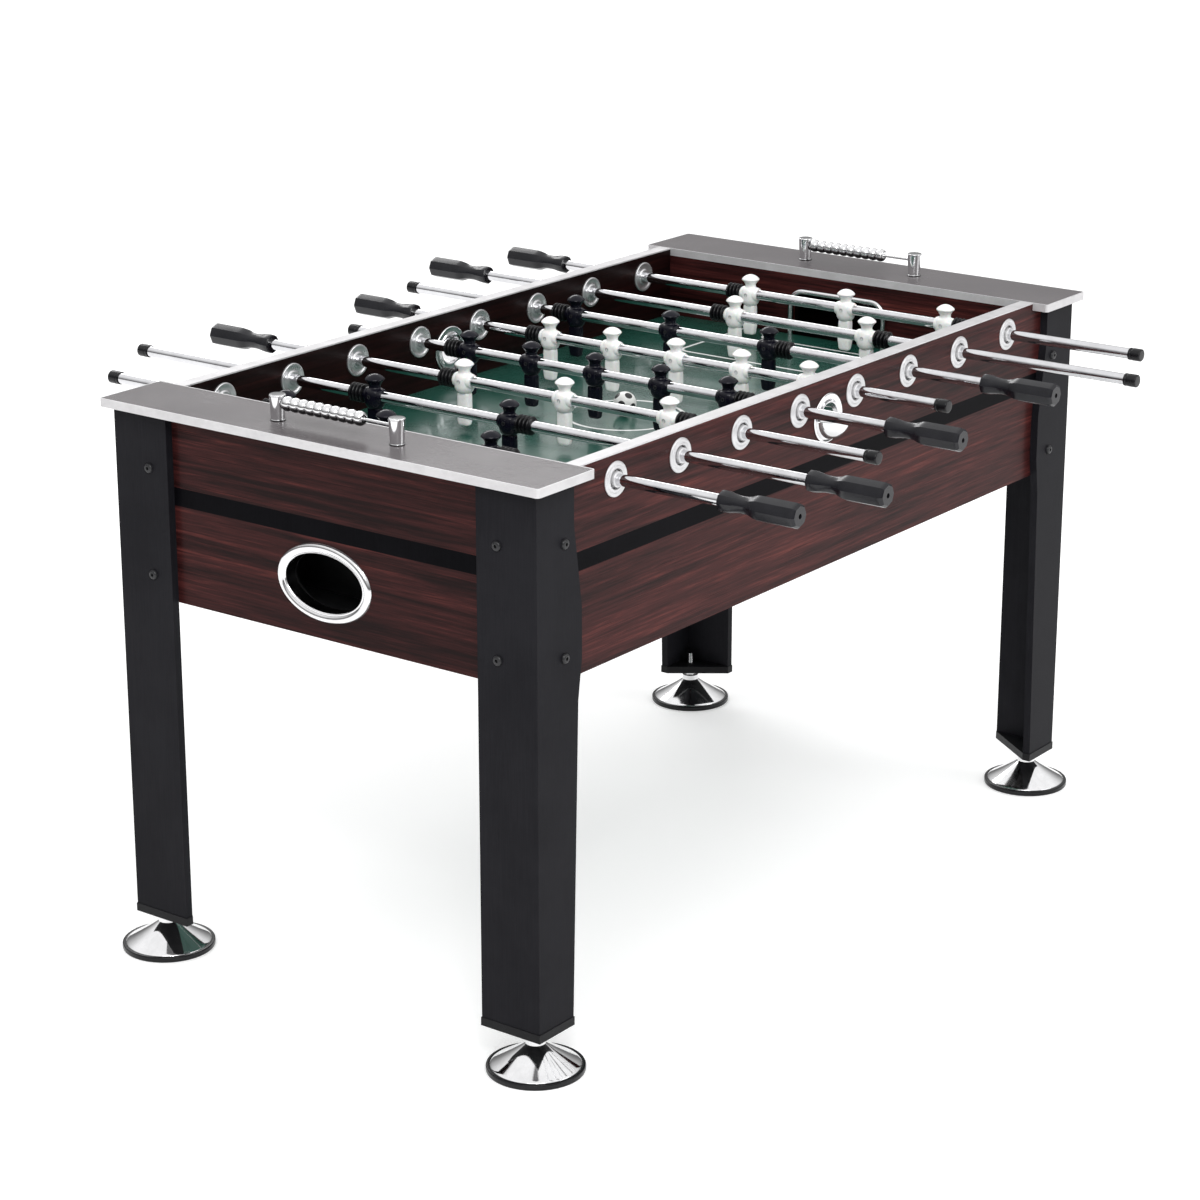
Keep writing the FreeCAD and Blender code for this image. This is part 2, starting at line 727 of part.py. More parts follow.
def grip_solid():
    """Grip with its open end at the origin, running along +Z."""
    outer = "(grip_diameter/2)"
    return lathe([
        (BORE, "0"),
        ("0.44 * grip_diameter", "0"),
        ("0.44 * grip_diameter", "0.08 * grip_length"),
        ("0.35 * grip_diameter", "0.28 * grip_length"),
        (outer, "0.46 * grip_length"),
        (outer, "0.97 * grip_length"),
        ("0.42 * grip_diameter", "grip_length"),
        ("0", "grip_length"),
        ("0", "grip_length - grip_floor"),
        (BORE, "grip_length - grip_floor"),
    ])


def tip_solid():
    """Rod tip with its open end at the origin, running along +Z."""
    outer = "(rod_diameter/2 + tip_wall)"
    return lathe([
        (BORE, "0"),
        (outer, "0"),
        (outer, "0.85 * tip_length"),
        (outer + " - tip_wall", "tip_length"),
        ("0", "tip_length"),
        ("0", "tip_length/2"),
        (BORE, "tip_length/2"),
    ])


def stop_solid():
    """Ribbed rubber stop centred on the rod, running along +Z."""
    outline = [(BORE, "0")]
    ribs = 4
    for rib in range(ribs):
        low = "%d * stop_length/%d" % (rib, ribs)
        outline.append(("stop_diameter/2", low))
        outline.append(("stop_diameter/2", "%s + 0.7 * stop_length/%d" % (low, ribs)))
        if rib < ribs - 1:
            outline.append(("0.4 * stop_diameter", "%s + 0.7 * stop_length/%d" % (low, ribs)))
            outline.append(("0.4 * stop_diameter", "%d * stop_length/%d" % (rib + 1, ribs)))
    outline.append(("0.4 * stop_diameter", "%d * stop_length/%d - 0.3 * stop_length/%d" % (ribs, ribs, ribs)))
    outline.append(("0.4 * stop_diameter", "stop_length"))
    outline.append((BORE, "stop_length"))
    return lathe(outline)


def man_solid():
    """Player about the rod axis (along Y): head up, foot down, bored for the rod."""
    figure = lathe([
        ("0", "-man_waist_fall"),
        ("0.30 * man_chest", "-man_waist_fall"),
        ("man_chest/2", "-0.5 * man_waist_fall"),
        ("man_chest/2", "0.20 * man_head_rise"),
        ("0.38 * man_chest", "0.38 * man_head_rise"),
        ("0.38 * man_chest", "0.46 * man_head_rise"),
        ("man_cap/2", "0.54 * man_head_rise"),
        ("0.47 * man_cap", "0.74 * man_head_rise"),
        ("0.28 * man_cap", "0.94 * man_head_rise"),
        ("0", "man_head_rise"),
    ])
    hub = bar("man_hub/2", "man_width", "0", "-man_width/2", "0", "y")
    shin = "(man_foot_fall - foot_block_height)"
    leg = DOC.addObject("Part::Wedge", "Leg")
    bind(leg, Xmin="-0.36 * foot_block_depth", Xmax="0.36 * foot_block_depth", X2min="-foot_block_depth/2",
         X2max="foot_block_depth/2", Zmin="-0.44 * foot_block_width", Zmax="0.44 * foot_block_width",
         Z2min="-foot_block_width/2", Z2max="foot_block_width/2", Ymin="0", Ymax=shin)
    turn(leg, (1, 0, 0), -90)
    foot = block("foot_block_depth", "foot_block_width", "foot_block_height", "-foot_block_depth/2",
                 "-foot_block_width/2", "-man_foot_fall")
    body = fuse([figure, hub, leg, foot])
    return cut(body, bar(BORE, "2 * man_width", "0", "-man_width", "0", "y"))


def rods():
    """Eight rods: tube, players, grip, and the rubber stops with the rod tip."""
    man = man_solid()
    grip = grip_solid()
    tip = tip_solid()
    stop = stop_solid()
    for number, (men, side, offset) in RODS.items():
        x = rod_x(number)
        reach = travel(men)
        grip_start = "(%s + %s + grip_reach - grip_length)" % (FACE_Y, reach)
        tip_start = "(%s + %s + tip_reach - tip_length)" % (FACE_Y, reach)
        grip_end = "(%s + grip_length - grip_floor - socket_gap)" % grip_start
        tip_end = "(%s + tip_length/2 - socket_gap)" % tip_start
        low = grip_end if side < 0 else tip_end
        length = "%s + %s" % (grip_end, tip_end)
        tube = bar("rod_diameter/2", length, x, "%s - %s" % (offset, low), AXIS_Z, "y")
        hollow = bar("rod_diameter/2 - rod_wall", length, x, "%s - %s" % (offset, low), AXIS_Z, "y")
        finish(cut(tube, hollow), "rod%d_tube" % number)
        figures = []
        for index in range(men):
            y = "%s + (%s) * %s" % (offset, index - (men - 1) / 2.0, SPACING[men])
            figures.append(copy_at(man, x, y, AXIS_Z))
        finish(gather(figures), "rod%d_men" % number)
        finish(copy_at(grip, x, "%s + %d * %s" % (offset, side, grip_start), AXIS_Z, -90.0 * side, (1, 0, 0)),
               "rod%d_grip" % number)
        stop_start = "((%s) * %s + man_width/2)" % ((men - 1) / 2.0, SPACING[men])
        rubber = [
            copy_at(stop, x, "%s + %s" % (offset, stop_start), AXIS_Z, -90.0, (1, 0, 0)),
            copy_at(stop, x, "%s - %s" % (offset, stop_start), AXIS_Z, 90.0, (1, 0, 0)),
            copy_at(tip, x, "%s - %d * %s" % (offset, side, tip_start), AXIS_Z, 90.0 * side, (1, 0, 0)),
        ]
        finish(gather(rubber), "rod%d_stops" % number)


# ---------------------------------------------------------------- score counters
def score_counters():
    """Two posts and a wire on each ledge, with ten beads at the back of the wire."""
    post = lathe([
        ("0", "0"),
        ("post_base/2", "0"),
        ("post_base/2", "0.08 * post_rise"),
        ("post_base/2 - 0.8", "0.12 * post_rise"),
        ("post_crown/2", "0.95 * post_rise"),
        ("post_crown/2 - 1.5", "post_rise"),
        ("0", "post_rise"),
    ])
    half = "bead_diameter/2"
    bead = lathe([
        ("wire_diameter/2 + bead_gap", "0"),
        ("0.30 * bead_diameter", "0"),
        (half, "0.36 * bead_length"),
        (half, "0.64 * bead_length"),
        ("0.30 * bead_diameter", "bead_length"),
        ("wire_diameter/2 + bead_gap", "bead_length"),
    ])
    stands = []
    for sign, name in ((-1, "near"), (1, "far")):
        x = "%d * (table_length/2 - counter_inset)" % sign
        level = "table_height + wire_rise"
        wire = bar("wire_diameter/2", "counter_span", x, "-counter_span/2", level, "y")
        posts = [copy_at(post, x, "%d * counter_span/2" % side, "table_height") for side in (-1, 1)]
        stands.append(fuse(posts + [wire]))
        first = "counter_span/2 - post_base/2 - bead_gap"
        beads = [copy_at(bead, x, "%s - %d * bead_pitch" % (first, index), level, 90.0, (1, 0, 0))
                 for index in range(BEADS)]
        finish(gather(beads), "score_beads_" + name)
    finish(gather(stands), "score_stands")


# ---------------------------------------------------------------- build, check, write
def check_document():
    """Stop on a failed object or a sub-part without a sound shape."""
    for item in DOC.Objects:
        if "Invalid" in item.State or "Error" in item.State:
            raise RuntimeError("failed object: %s (%s)" % (item.Label, item.Name))
    for item in FINISHED:
        shape = Part.getShape(item)
        if shape.isNull() or not shape.isValid() or not shape.Solids:
            raise RuntimeError("unsound shape: %s" % item.Label)


def write_nodes():
    """One STEP file per sub-part."""
    os.makedirs("parts", exist_ok=True)
    for item in FINISHED:
        Part.getShape(item).exportStep("parts/%s.step" % item.Label)


def main():
    """Build every sub-part in order."""
    for build in (side_panels, end_panels, goal_walls, playfield, ledges_and_trims, accent_stripes,
                  goal_frames, port_rings, return_boxes, ball_cups, ball, legs, leg_shoes, leg_bolts,
                  levelers, bearings, rods, score_counters):
        build()
    DOC.recompute()
    check_document()
    write_nodes()


main()
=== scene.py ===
"""Looks of a foosball table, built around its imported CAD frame.

Every shape is a surface worked out with numpy in metres, in the frame of the
CAD model: X along the table, Y across it, +Z up.
"""

import json
import logging
import math
from dataclasses import dataclass, replace
from enum import Enum
from functools import reduce
from itertools import product

import bpy
import numpy as np
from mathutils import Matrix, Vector

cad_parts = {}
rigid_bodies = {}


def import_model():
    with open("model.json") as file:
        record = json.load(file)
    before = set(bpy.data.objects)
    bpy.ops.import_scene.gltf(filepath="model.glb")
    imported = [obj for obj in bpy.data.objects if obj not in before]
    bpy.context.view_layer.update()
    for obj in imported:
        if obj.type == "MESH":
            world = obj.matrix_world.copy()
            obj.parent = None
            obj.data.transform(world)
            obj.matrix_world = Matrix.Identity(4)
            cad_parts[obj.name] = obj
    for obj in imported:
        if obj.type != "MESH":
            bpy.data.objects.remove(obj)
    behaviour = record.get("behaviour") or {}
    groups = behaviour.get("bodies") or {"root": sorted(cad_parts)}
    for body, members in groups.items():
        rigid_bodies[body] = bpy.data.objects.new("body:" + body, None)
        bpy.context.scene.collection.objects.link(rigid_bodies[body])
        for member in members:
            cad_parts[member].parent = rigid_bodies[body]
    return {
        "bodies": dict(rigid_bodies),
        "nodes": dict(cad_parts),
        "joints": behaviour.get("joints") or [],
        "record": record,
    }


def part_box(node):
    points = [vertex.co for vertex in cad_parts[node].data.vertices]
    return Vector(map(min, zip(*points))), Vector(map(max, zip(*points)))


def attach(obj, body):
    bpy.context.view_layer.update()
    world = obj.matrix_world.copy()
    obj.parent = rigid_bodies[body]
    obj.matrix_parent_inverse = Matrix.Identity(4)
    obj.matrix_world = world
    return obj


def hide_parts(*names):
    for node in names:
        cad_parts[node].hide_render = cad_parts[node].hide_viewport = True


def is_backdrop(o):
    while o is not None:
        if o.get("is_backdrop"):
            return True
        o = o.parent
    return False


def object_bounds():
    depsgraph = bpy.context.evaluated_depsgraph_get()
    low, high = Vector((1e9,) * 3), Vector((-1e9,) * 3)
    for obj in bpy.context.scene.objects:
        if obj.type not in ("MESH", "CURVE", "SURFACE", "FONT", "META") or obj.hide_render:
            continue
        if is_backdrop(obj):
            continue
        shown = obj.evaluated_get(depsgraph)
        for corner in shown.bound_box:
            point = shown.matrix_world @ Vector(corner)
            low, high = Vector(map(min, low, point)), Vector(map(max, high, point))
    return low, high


LOG = logging.getLogger("foosball_table")
MM = 0.001
WELD = 1e-6  # points this close become one
SHORT_SIDE = 0.45  # most of a side that one corner's rounding may take
BORE = 8.1 * MM  # radius of whatever fits round a rod
CORNERS = ("near_front", "near_back", "far_front", "far_back")
Vec = tuple[float, float, float]
Colour = tuple[float, float, float]


# ---- surfaces
def cells(index: np.ndarray) -> np.ndarray:
    """Four corners of each cell between neighbouring rows and columns of an index grid."""
    return np.stack([index[:-1, :-1], index[:-1, 1:], index[1:, 1:], index[1:, :-1]], axis=-1)


@dataclass
class Surface:
    """Points with faces of three or four corners; a triangle's fourth corner is -1."""

    points: np.ndarray
    faces: np.ndarray

    @classmethod
    def from_grid(cls, grid: np.ndarray, wrap_rows: bool = False,
                  wrap_columns: bool = True) -> "Surface":
        """Join neighbouring points of a grid into faces and weld what coincides.

        Args:
            grid: array of shape (rows, columns, 3).
            wrap_rows: join the last row to the first.
            wrap_columns: join the last column to the first.

        Returns:
            The welded surface, its faces turned outward.
        """
        rows, columns = grid.shape[:2]
        index = np.arange(rows * columns).reshape(rows, columns)
        if wrap_rows:
            index = np.vstack([index, index[:1]])
        if wrap_columns:
            index = np.hstack([index, index[:, :1]])
        return cls(grid.reshape(-1, 3), cells(index).reshape(-1, 4)).welded().outward()

    def welded(self) -> "Surface":
        """Merge points that round to the same micrometre.

        Returns:
            The surface with collapsed quads turned into triangles or dropped.
        """
        keys = np.round(self.points / WELD).astype(np.int64)
        _, first, inverse = np.unique(keys, axis=0, return_index=True, return_inverse=True)
        inverse = inverse.reshape(-1)
        faces = np.where(self.faces >= 0, inverse[np.maximum(self.faces, 0)], -1)
        same = (faces == np.roll(faces, -1, axis=1)) & (faces >= 0)
        faces = faces[same.sum(axis=1) < 2]
        same = (faces == np.roll(faces, -1, axis=1)) & (faces >= 0)
        for corner in range(4):
            hit = same[:, corner]
            faces[hit] = np.roll(faces[hit], 3 - corner, axis=1)
            faces[hit, 3] = -1
        return Surface(self.points[first], faces)

    def triangles(self) -> np.ndarray:
        """Corners of every face cut into triangles, shape (count, 3)."""
        quads = self.faces[self.faces[:, 3] >= 0]
        return np.vstack([self.faces[:, :3], quads[:, [0, 2, 3]]])

    def outward(self) -> "Surface":
        """Turn every face round if the enclosed volume comes out negative.

        Returns:
            The surface itself, or a copy with its faces turned.
        """
        a, b, c = (self.points[self.triangles()[:, k]] for k in range(3))
        volume = np.einsum("ij,ij->i", a, np.cross(b, c)).sum()
        if volume >= 0:
            return self
        faces = self.faces[:, ::-1].copy()
        three = faces[:, 0] < 0
        faces[three] = np.roll(faces[three], -1, axis=1)
        return Surface(self.points, faces)

    def moved(self, x: float = 0.0, y: float = 0.0, z: float = 0.0) -> "Surface":
        """Copy of the surface shifted by a vector."""
        return Surface(self.points + np.array([x, y, z]), self.faces)

    def laid(self, matrix: np.ndarray) -> "Surface":
        """Copy of the surface with its points multiplied by a 3 by 3 matrix."""
        return Surface(self.points @ np.asarray(matrix, float).T, self.faces).outward()


def joined(surfaces: list[Surface]) -> Surface:
    """One surface holding all the given ones, unwelded.

    Args:
        surfaces: the parts to put together.

    Returns:
        A surface whose faces point into the stacked points.
    """
    starts = np.cumsum([0] + [len(s.points) for s in surfaces[:-1]])
    faces = [np.where(s.faces >= 0, s.faces + start, -1) for s, start in zip(surfaces, starts)]
    return Surface(np.vstack([s.points for s in surfaces]), np.vstack(faces))


def rounded(corners: list[tuple[float, float]], radius: float | list[float],
            steps: int = 4, closed: bool = False) -> np.ndarray:
    """Round the corners of an outline with quadratic curves.

    Each corner P is replaced by (1-s)^2 A + 2s(1-s) P + s^2 B, where A and B lie on
    the two sides at the radius, or at SHORT_SIDE of a side where that is less.

    Args:
        corners: outline points.
        radius: one rounding for all corners, or one for each.
        steps: points of each rounding.
        closed: whether the outline returns to its start.

    Returns:
        Array of shape (count, 2).
    """
    spots = np.asarray(corners, float)
    reach = np.broadcast_to(np.asarray(radius, float), len(spots)).copy()
    if not closed:
        reach[[0, -1]] = 0.0
    back = np.roll(spots, 1, axis=0) - spots
    ahead = np.roll(spots, -1, axis=0) - spots
    back_length = np.linalg.norm(back, axis=1) + 1e-12
    ahead_length = np.linalg.norm(ahead, axis=1) + 1e-12
    reach = np.minimum(reach, SHORT_SIDE * np.minimum(back_length, ahead_length))[:, None]
    start = spots + back / back_length[:, None] * reach
    end = spots + ahead / ahead_length[:, None] * reach
    s = np.linspace(0.0, 1.0, steps + 1)[None, :, None]
    curve = (1 - s) ** 2 * start[:, None] + 2 * s * (1 - s) * spots[:, None] + s ** 2 * end[:, None]
    line = curve.reshape(-1, 2)
    keep = np.r_[True, np.linalg.norm(np.diff(line, axis=0), axis=1) > 1e-7]
    return line[keep]


def smooth_line(knots: list[tuple[float, ...]], count: int) -> np.ndarray:
    """Curve through knots: piecewise cubic in the first column with limited slopes.

    Args:
        knots: rows whose first column grows steadily.
        count: number of samples.

    Returns:
        Array of shape (count, columns), the first column evenly spaced.
    """
    table = np.asarray(knots, float)
    place, values = table[:, 0], table[:, 1:]
    gap = np.diff(place)[:, None]
    slope = np.diff(values, axis=0) / gap
    mean = np.zeros_like(values)
    same = slope[:-1] * slope[1:] > 0
    total = np.where(same, slope[:-1] + slope[1:], 1.0)
    mean[1:-1] = np.where(same, 2 * slope[:-1] * slope[1:] / total, 0.0)
    mean[0], mean[-1] = slope[0], slope[-1]
    spot = np.linspace(place[0], place[-1], count)
    cell = np.clip(np.searchsorted(place, spot, side="right") - 1, 0, len(place) - 2)
    h = gap[cell]
    t = (spot[:, None] - place[cell][:, None]) / h
    low, high = values[cell], values[cell + 1]
    curve = ((2 * t ** 3 - 3 * t ** 2 + 1) * low + (t ** 3 - 2 * t ** 2 + t) * h * mean[cell]
             + (3 * t ** 2 - 2 * t ** 3) * high + (t ** 3 - t ** 2) * h * mean[cell + 1])
    return np.column_stack([spot, curve])


def around(count: int) -> np.ndarray:
    """Directions in radians, evenly spaced round a circle."""
    return np.linspace(0.0, math.tau, count, endpoint=False)


def rings(angle: np.ndarray, reach: np.ndarray, heights: np.ndarray,
          side_reach: np.ndarray | None = None) -> np.ndarray:
    """Grid of level rings: (a cos t, b sin t, h), one row for each height.

    Args:
        angle: directions t round the axis.
        reach: a, a column or a row for each height.
        heights: h of each ring.
        side_reach: b, where it is not the same as a.

    Returns:
        Array of shape (heights, directions, 3).
    """
    side_reach = reach if side_reach is None else side_reach
    level = np.reshape(heights, (-1, 1))
    return np.stack(np.broadcast_arrays(reach * np.cos(angle), side_reach * np.sin(angle), level), axis=-1)


def turned(profile: np.ndarray, sides: int = 48, closed: bool = False) -> Surface:
    """Surface of revolution about Z: (r cos a, r sin a, h) for each (r, h).

    Args:
        profile: radii and heights.
        sides: divisions round the axis.
        closed: whether the profile is a loop, as round a bore.

    Returns:
        The closed surface.
    """
    return Surface.from_grid(rings(around(sides), profile[:, :1], profile[:, 1:]), wrap_rows=closed)


def polygon_radius(angle: np.ndarray, sides: int, softness: float) -> np.ndarray:
    """Radius of a regular polygon with unit corner radius, blended towards a circle.

    The polygon's radius is cos(pi/n) / cos(a mod 2pi/n - pi/n).

    Args:
        angle: directions.
        sides: corners of the polygon.
        softness: 0 for sharp corners, 1 for a circle.

    Returns:
        A radius for each direction.
    """
    step = math.tau / sides
    flat = math.cos(step / 2) / np.cos(np.mod(angle, step) - step / 2)
    return flat * (1 - softness) + softness * (1 + math.cos(step / 2)) / 2


def tube(path: np.ndarray, radius: float, side: Vec, sides: int = 20) -> Surface:
    """Round tube along a flat path.

    A ring point is P + r (cos a S + sin a (T x S)), with T the tangent and S the
    fixed direction square to the path's plane.

    Args:
        path: centre line, shape (count, 3).
        radius: tube radius.
        side: unit vector square to the path's plane.
        sides: divisions round the tube.

    Returns:
        The tube with closed ends.
    """
    tangent = np.gradient(path, axis=0)
    tangent /= np.linalg.norm(tangent, axis=1)[:, None]
    flank = np.broadcast_to(np.asarray(side, float), path.shape)
    across = np.cross(tangent, flank)
    angle = around(sides)[None, :, None]
    ring = path[:, None] + radius * (np.cos(angle) * flank[:, None] + np.sin(angle) * across[:, None])
    ends = [np.broadcast_to(path[k], ring[:1].shape) for k in (0, -1)]
    return Surface.from_grid(np.concatenate([ends[0], ring, ends[1]]))


ALONG_Y = np.array([[1, 0, 0], [0, 0, 1], [0, -1, 0]], float)
AGAINST_Y = np.array([[1, 0, 0], [0, 0, -1], [0, 1, 0]], float)
ALONG_X = np.array([[0, 0, 1], [0, 1, 0], [-1, 0, 0]], float)
AGAINST_X = np.array([[0, 0, -1], [0, 1, 0], [1, 0, 0]], float)


def middle(node: str) -> Vector:
    """Centre of a CAD node's box."""
    low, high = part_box(node)
    return (low + high) / 2


# ---- shader graph
class Signal:
    """A number in a shader graph that takes part in ordinary arithmetic."""

    def __init__(self, graph: "Graph", socket: bpy.types.NodeSocket) -> None:
        """Wrap an output socket.

        Args:
            graph: the graph that the socket belongs to.
            socket: an output socket.
        """
        self.graph = graph
        self.socket = socket

    def math(self, operation: str, *others: "Signal | float") -> "Signal":
        """Result of a Math node whose first input is this number.

        Args:
            operation: the node's operation.
            others: further inputs.

        Returns:
            The node's output.
        """
        return self.graph.math(operation, self, *others)

    def __add__(self, other: "Signal | float") -> "Signal":
        """Sum."""
        return self.math("ADD", other)

    __radd__ = __add__

    def __mul__(self, other: "Signal | float") -> "Signal":
        """Product."""
        return self.math("MULTIPLY", other)

    __rmul__ = __mul__

    def __sub__(self, other: "Signal | float") -> "Signal":
        """Difference."""
        return self.math("SUBTRACT", other)

    def __rsub__(self, other: float) -> "Signal":
        """Difference from a plain number."""
        return self.graph.math("SUBTRACT", other, self)

    def __truediv__(self, other: "Signal | float") -> "Signal":
        """Quotient."""
        return self.math("DIVIDE", other)

    def __rtruediv__(self, other: float) -> "Signal":
        """Quotient of a plain number."""
        return self.graph.math("DIVIDE", other, self)

    def __pow__(self, power: float) -> "Signal":
        """Power."""
        return self.math("POWER", power)

    def __abs__(self) -> "Signal":
        """Size without its sign."""
        return self.math("ABSOLUTE")

    def most(self, other: "Signal | float") -> "Signal":
        """Larger of two numbers."""
        return self.math("MAXIMUM", other)

    def least(self, other: "Signal | float") -> "Signal":
        """Smaller of two numbers."""
        return self.math("MINIMUM", other)

    def step(self, low: float, high: float) -> "Signal":
        """Smooth rise from 0 at low to 1 at high; it falls where low is the larger.

        Args:
            low: where the result is 0.
            high: where the result is 1.

        Returns:
            The share of the way, between 0 and 1.
        """
        start, end = (0.0, 1.0) if low < high else (1.0, 0.0)
        node = self.graph.node("ShaderNodeMapRange", {"interpolation_type": "SMOOTHSTEP"}, Value=self,
                               From_Min=min(low, high), From_Max=max(low, high), To_Min=start, To_Max=end)
        return Signal(self.graph, node.outputs["Result"])


class Graph:
    """A material's node tree with short ways to add nodes."""

    def __init__(self, name: str) -> None:
        """Start a material that holds one Principled shader.

        Args:
            name: the material's name.
        """
        self.material = bpy.data.materials.new(name)
        self.material.use_nodes = True
        self.tree = self.material.node_tree
        self.shader = self.tree.nodes["Principled BSDF"]

    def node(self, kind: str, settings: dict | None = None, **inputs: object) -> bpy.types.Node:
        """Add any node.

        Args:
            kind: the node's type.
            settings: properties of the node.
            inputs: values or links, by input name with underscores for spaces.

        Returns:
            The new node.
        """
        item = self.tree.nodes.new(kind)
        for name, value in (settings or {}).items():
            setattr(item, name, value)
        for name, value in inputs.items():
            self.feed(item.inputs[name.replace("_", " ")], value)
        return item

    def feed(self, socket: bpy.types.NodeSocket, value: object) -> None:
        """Link or set an input socket.

        Args:
            socket: the input.
            value: a signal or an output to link, or a value to set.
        """
        if isinstance(value, Signal):
            value = value.socket
        if isinstance(value, bpy.types.NodeSocket):
            self.tree.links.new(value, socket)
        else:
            socket.default_value = value

    def math(self, operation: str, *values: "Signal | float") -> Signal:
        """Math node over signals and numbers.

        Args:
            operation: the node's operation.
            values: its inputs in order.

        Returns:
            The node's output.
        """
        item = self.node("ShaderNodeMath", {"operation": operation})
        for place, value in enumerate(values):
            self.feed(item.inputs[place], value)
        return Signal(self, item.outputs[0])

    def place(self, offset: Vec = (0.0, 0.0, 0.0),
              scale: Vec = (1.0, 1.0, 1.0)) -> bpy.types.NodeSocket:
        """Object coordinates, counted from a point and then stretched.

        Args:
            offset: the point, in metres.
            scale: stretch along each axis.

        Returns:
            The vector output.
        """
        where = self.node("ShaderNodeTexCoord").outputs["Object"]
        shift = tuple(-o * s for o, s in zip(offset, scale))
        return self.node("ShaderNodeMapping", Vector=where, Location=shift, Scale=scale).outputs["Vector"]

    def axes(self, offset: Vec = (0.0, 0.0, 0.0)) -> tuple[Signal, Signal, Signal]:
        """X, Y and Z of the Object coordinates, counted from a point."""
        split = self.node("ShaderNodeSeparateXYZ", Vector=self.place(offset))
        return tuple(Signal(self, split.outputs[name]) for name in ("X", "Y", "Z"))

    def noise(self, scale: Vec | float, detail: float = 3.0, roughness: float = 0.5,
              distortion: float = 0.0) -> Signal:
        """Noise with its own number of cells per metre along each axis.

        Args:
            scale: cells per metre, one number for all axes or one for each.
            detail: number of finer layers.
            roughness: weight of the finer layers.
            distortion: how far the cells are pulled about.

        Returns:
            The noise, between 0 and 1.
        """
        scale = scale if isinstance(scale, tuple) else (scale, scale, scale)
        item = self.node("ShaderNodeTexNoise", Vector=self.place(scale=scale), Scale=1.0, Detail=detail,
                         Roughness=roughness, Distortion=distortion)
        return Signal(self, item.outputs["Fac"])

    def blend(self, share: Signal, low: object, high: object) -> bpy.types.NodeSocket:
        """Colour between two colours.

        Args:
            share: 0 for the first colour, 1 for the second.
            low: the first colour, a socket or three numbers.
            high: the second colour, the same way.

        Returns:
            The colour output.
        """
        item = self.node("ShaderNodeMix", {"data_type": "RGBA"})
        for place, value in ((0, share), (6, low), (7, high)):
            self.feed(item.inputs[place], (*value, 1.0) if isinstance(value, tuple) else value)
        return item.outputs[2]

    def bump(self, height: Signal, strength: float, depth: float) -> None:
        """Send a height to the shader's normal."""
        item = self.node("ShaderNodeBump", Height=height, Strength=strength, Distance=depth)
        self.feed(self.shader.inputs["Normal"], item.outputs["Normal"])

    def varying(self, **inputs: object) -> None:
        """Link changing values to the shader."""
        for name, value in inputs.items():
            self.feed(self.shader.inputs[name.replace("_", " ")], value)

    def fixed(self, **inputs: object) -> None:
        """Set even values on the shader's own sockets."""
        for name, value in inputs.items():
            self.shader.inputs[name.replace("_", " ")].default_value = value


# ---- finishes
class Grain(Enum):
    """Direction that a board's grain runs in."""

    ALONG_X = (1.0, 26.0, 26.0)
    ALONG_Y = (26.0, 1.0, 26.0)
    ALONG_Z = (26.0, 26.0, 1.0)


@dataclass(frozen=True)
class Laminate:
    """Printed wood-grain laminate with pores, streaks and a thin clear coat.

    Inside the table the board carries painted shade: from edge[0] to edge[1], two distances
    in metres along one axis, its colour moves to near black by the share painted_shade.
    """

    name: str
    grain: Grain
    axis: int
    edge: tuple[float, float]
    painted_shade: float
    dark: Colour = (0.0085, 0.0030, 0.0031)
    warm: Colour = (0.050, 0.0125, 0.0120)
    light: Colour = (0.125, 0.0300, 0.0250)
    gloss: float = 0.34

    def material(self) -> bpy.types.Material:
        """Long streaks of three tones, fine dark pores, faint cloudy gloss and painted shade inside the
        table.

        Returns:
            The material.
        """
        g = Graph(self.name)
        stretch = self.grain.value
        wide = g.noise(tuple(1.5 * s for s in stretch), 4.0, 0.62, 0.55)
        streak = g.noise(tuple(6.5 * s for s in stretch), 5.0, 0.68, 0.25)
        pores = g.noise(tuple(26.0 * s if s > 2 else 9.0 for s in stretch), 2.0, 0.5)
        tone = wide * 0.55 + streak * 0.45
        base = g.blend(tone.step(0.36, 0.58), self.dark, self.warm)
        base = g.blend((streak * 0.6 + wide * 0.4).step(0.52, 0.70), base, self.light)
        pore = pores.step(0.44, 0.30) * streak.step(0.30, 0.60)
        base = g.blend(pore * 0.75, base, self.dark)
        # painted shade: faces inside the table move towards near black, standing in for the shade there
        inside = abs(g.axes()[self.axis]).step(*self.edge) * self.painted_shade
        g.varying(Base_Color=g.blend(inside, base, (0.002, 0.0012, 0.0012)),
                  Roughness=g.noise(9.0, 3.0) * 0.10 + pore * 0.14 + (self.gloss - 0.05))
        g.fixed(Coat_Weight=0.02, Coat_Roughness=0.16, Specular_IOR_Level=0.07)
        g.bump(pore * -1.0 + streak * 0.25, 0.25, 0.0004)
        return g.material


@dataclass(frozen=True)
class Board:
    """Plain coloured laminate with a fine pressed texture and slight unevenness."""

    name: str
    colour: Colour
    other: Colour
    gloss: float
    coat: float = 0.0
    texture: float = 0.0003
    shine: float = 0.13
    grain: Grain = Grain.ALONG_Z

    def material(self) -> bpy.types.Material:
        """Cloudy tone, fine pressed grain and small scuffs in the gloss.

        Returns:
            The material.
        """
        g = Graph(self.name)
        cloud = g.noise(7.0, 4.0, 0.6)
        grain = g.noise(tuple(22.0 * s for s in self.grain.value), 4.0, 0.7)
        speck = g.noise(900.0, 2.0, 0.5)
        g.varying(Base_Color=g.blend((cloud * 0.6 + grain * 0.4).step(0.35, 0.65), self.colour, self.other),
                  Roughness=cloud * 0.12 + grain * 0.08 + (self.gloss - 0.10))
        g.fixed(Coat_Weight=self.coat, Coat_Roughness=0.1, Specular_IOR_Level=self.shine)
        g.bump(grain * 0.6 + speck * 0.4, 0.35, self.texture)
        return g.material


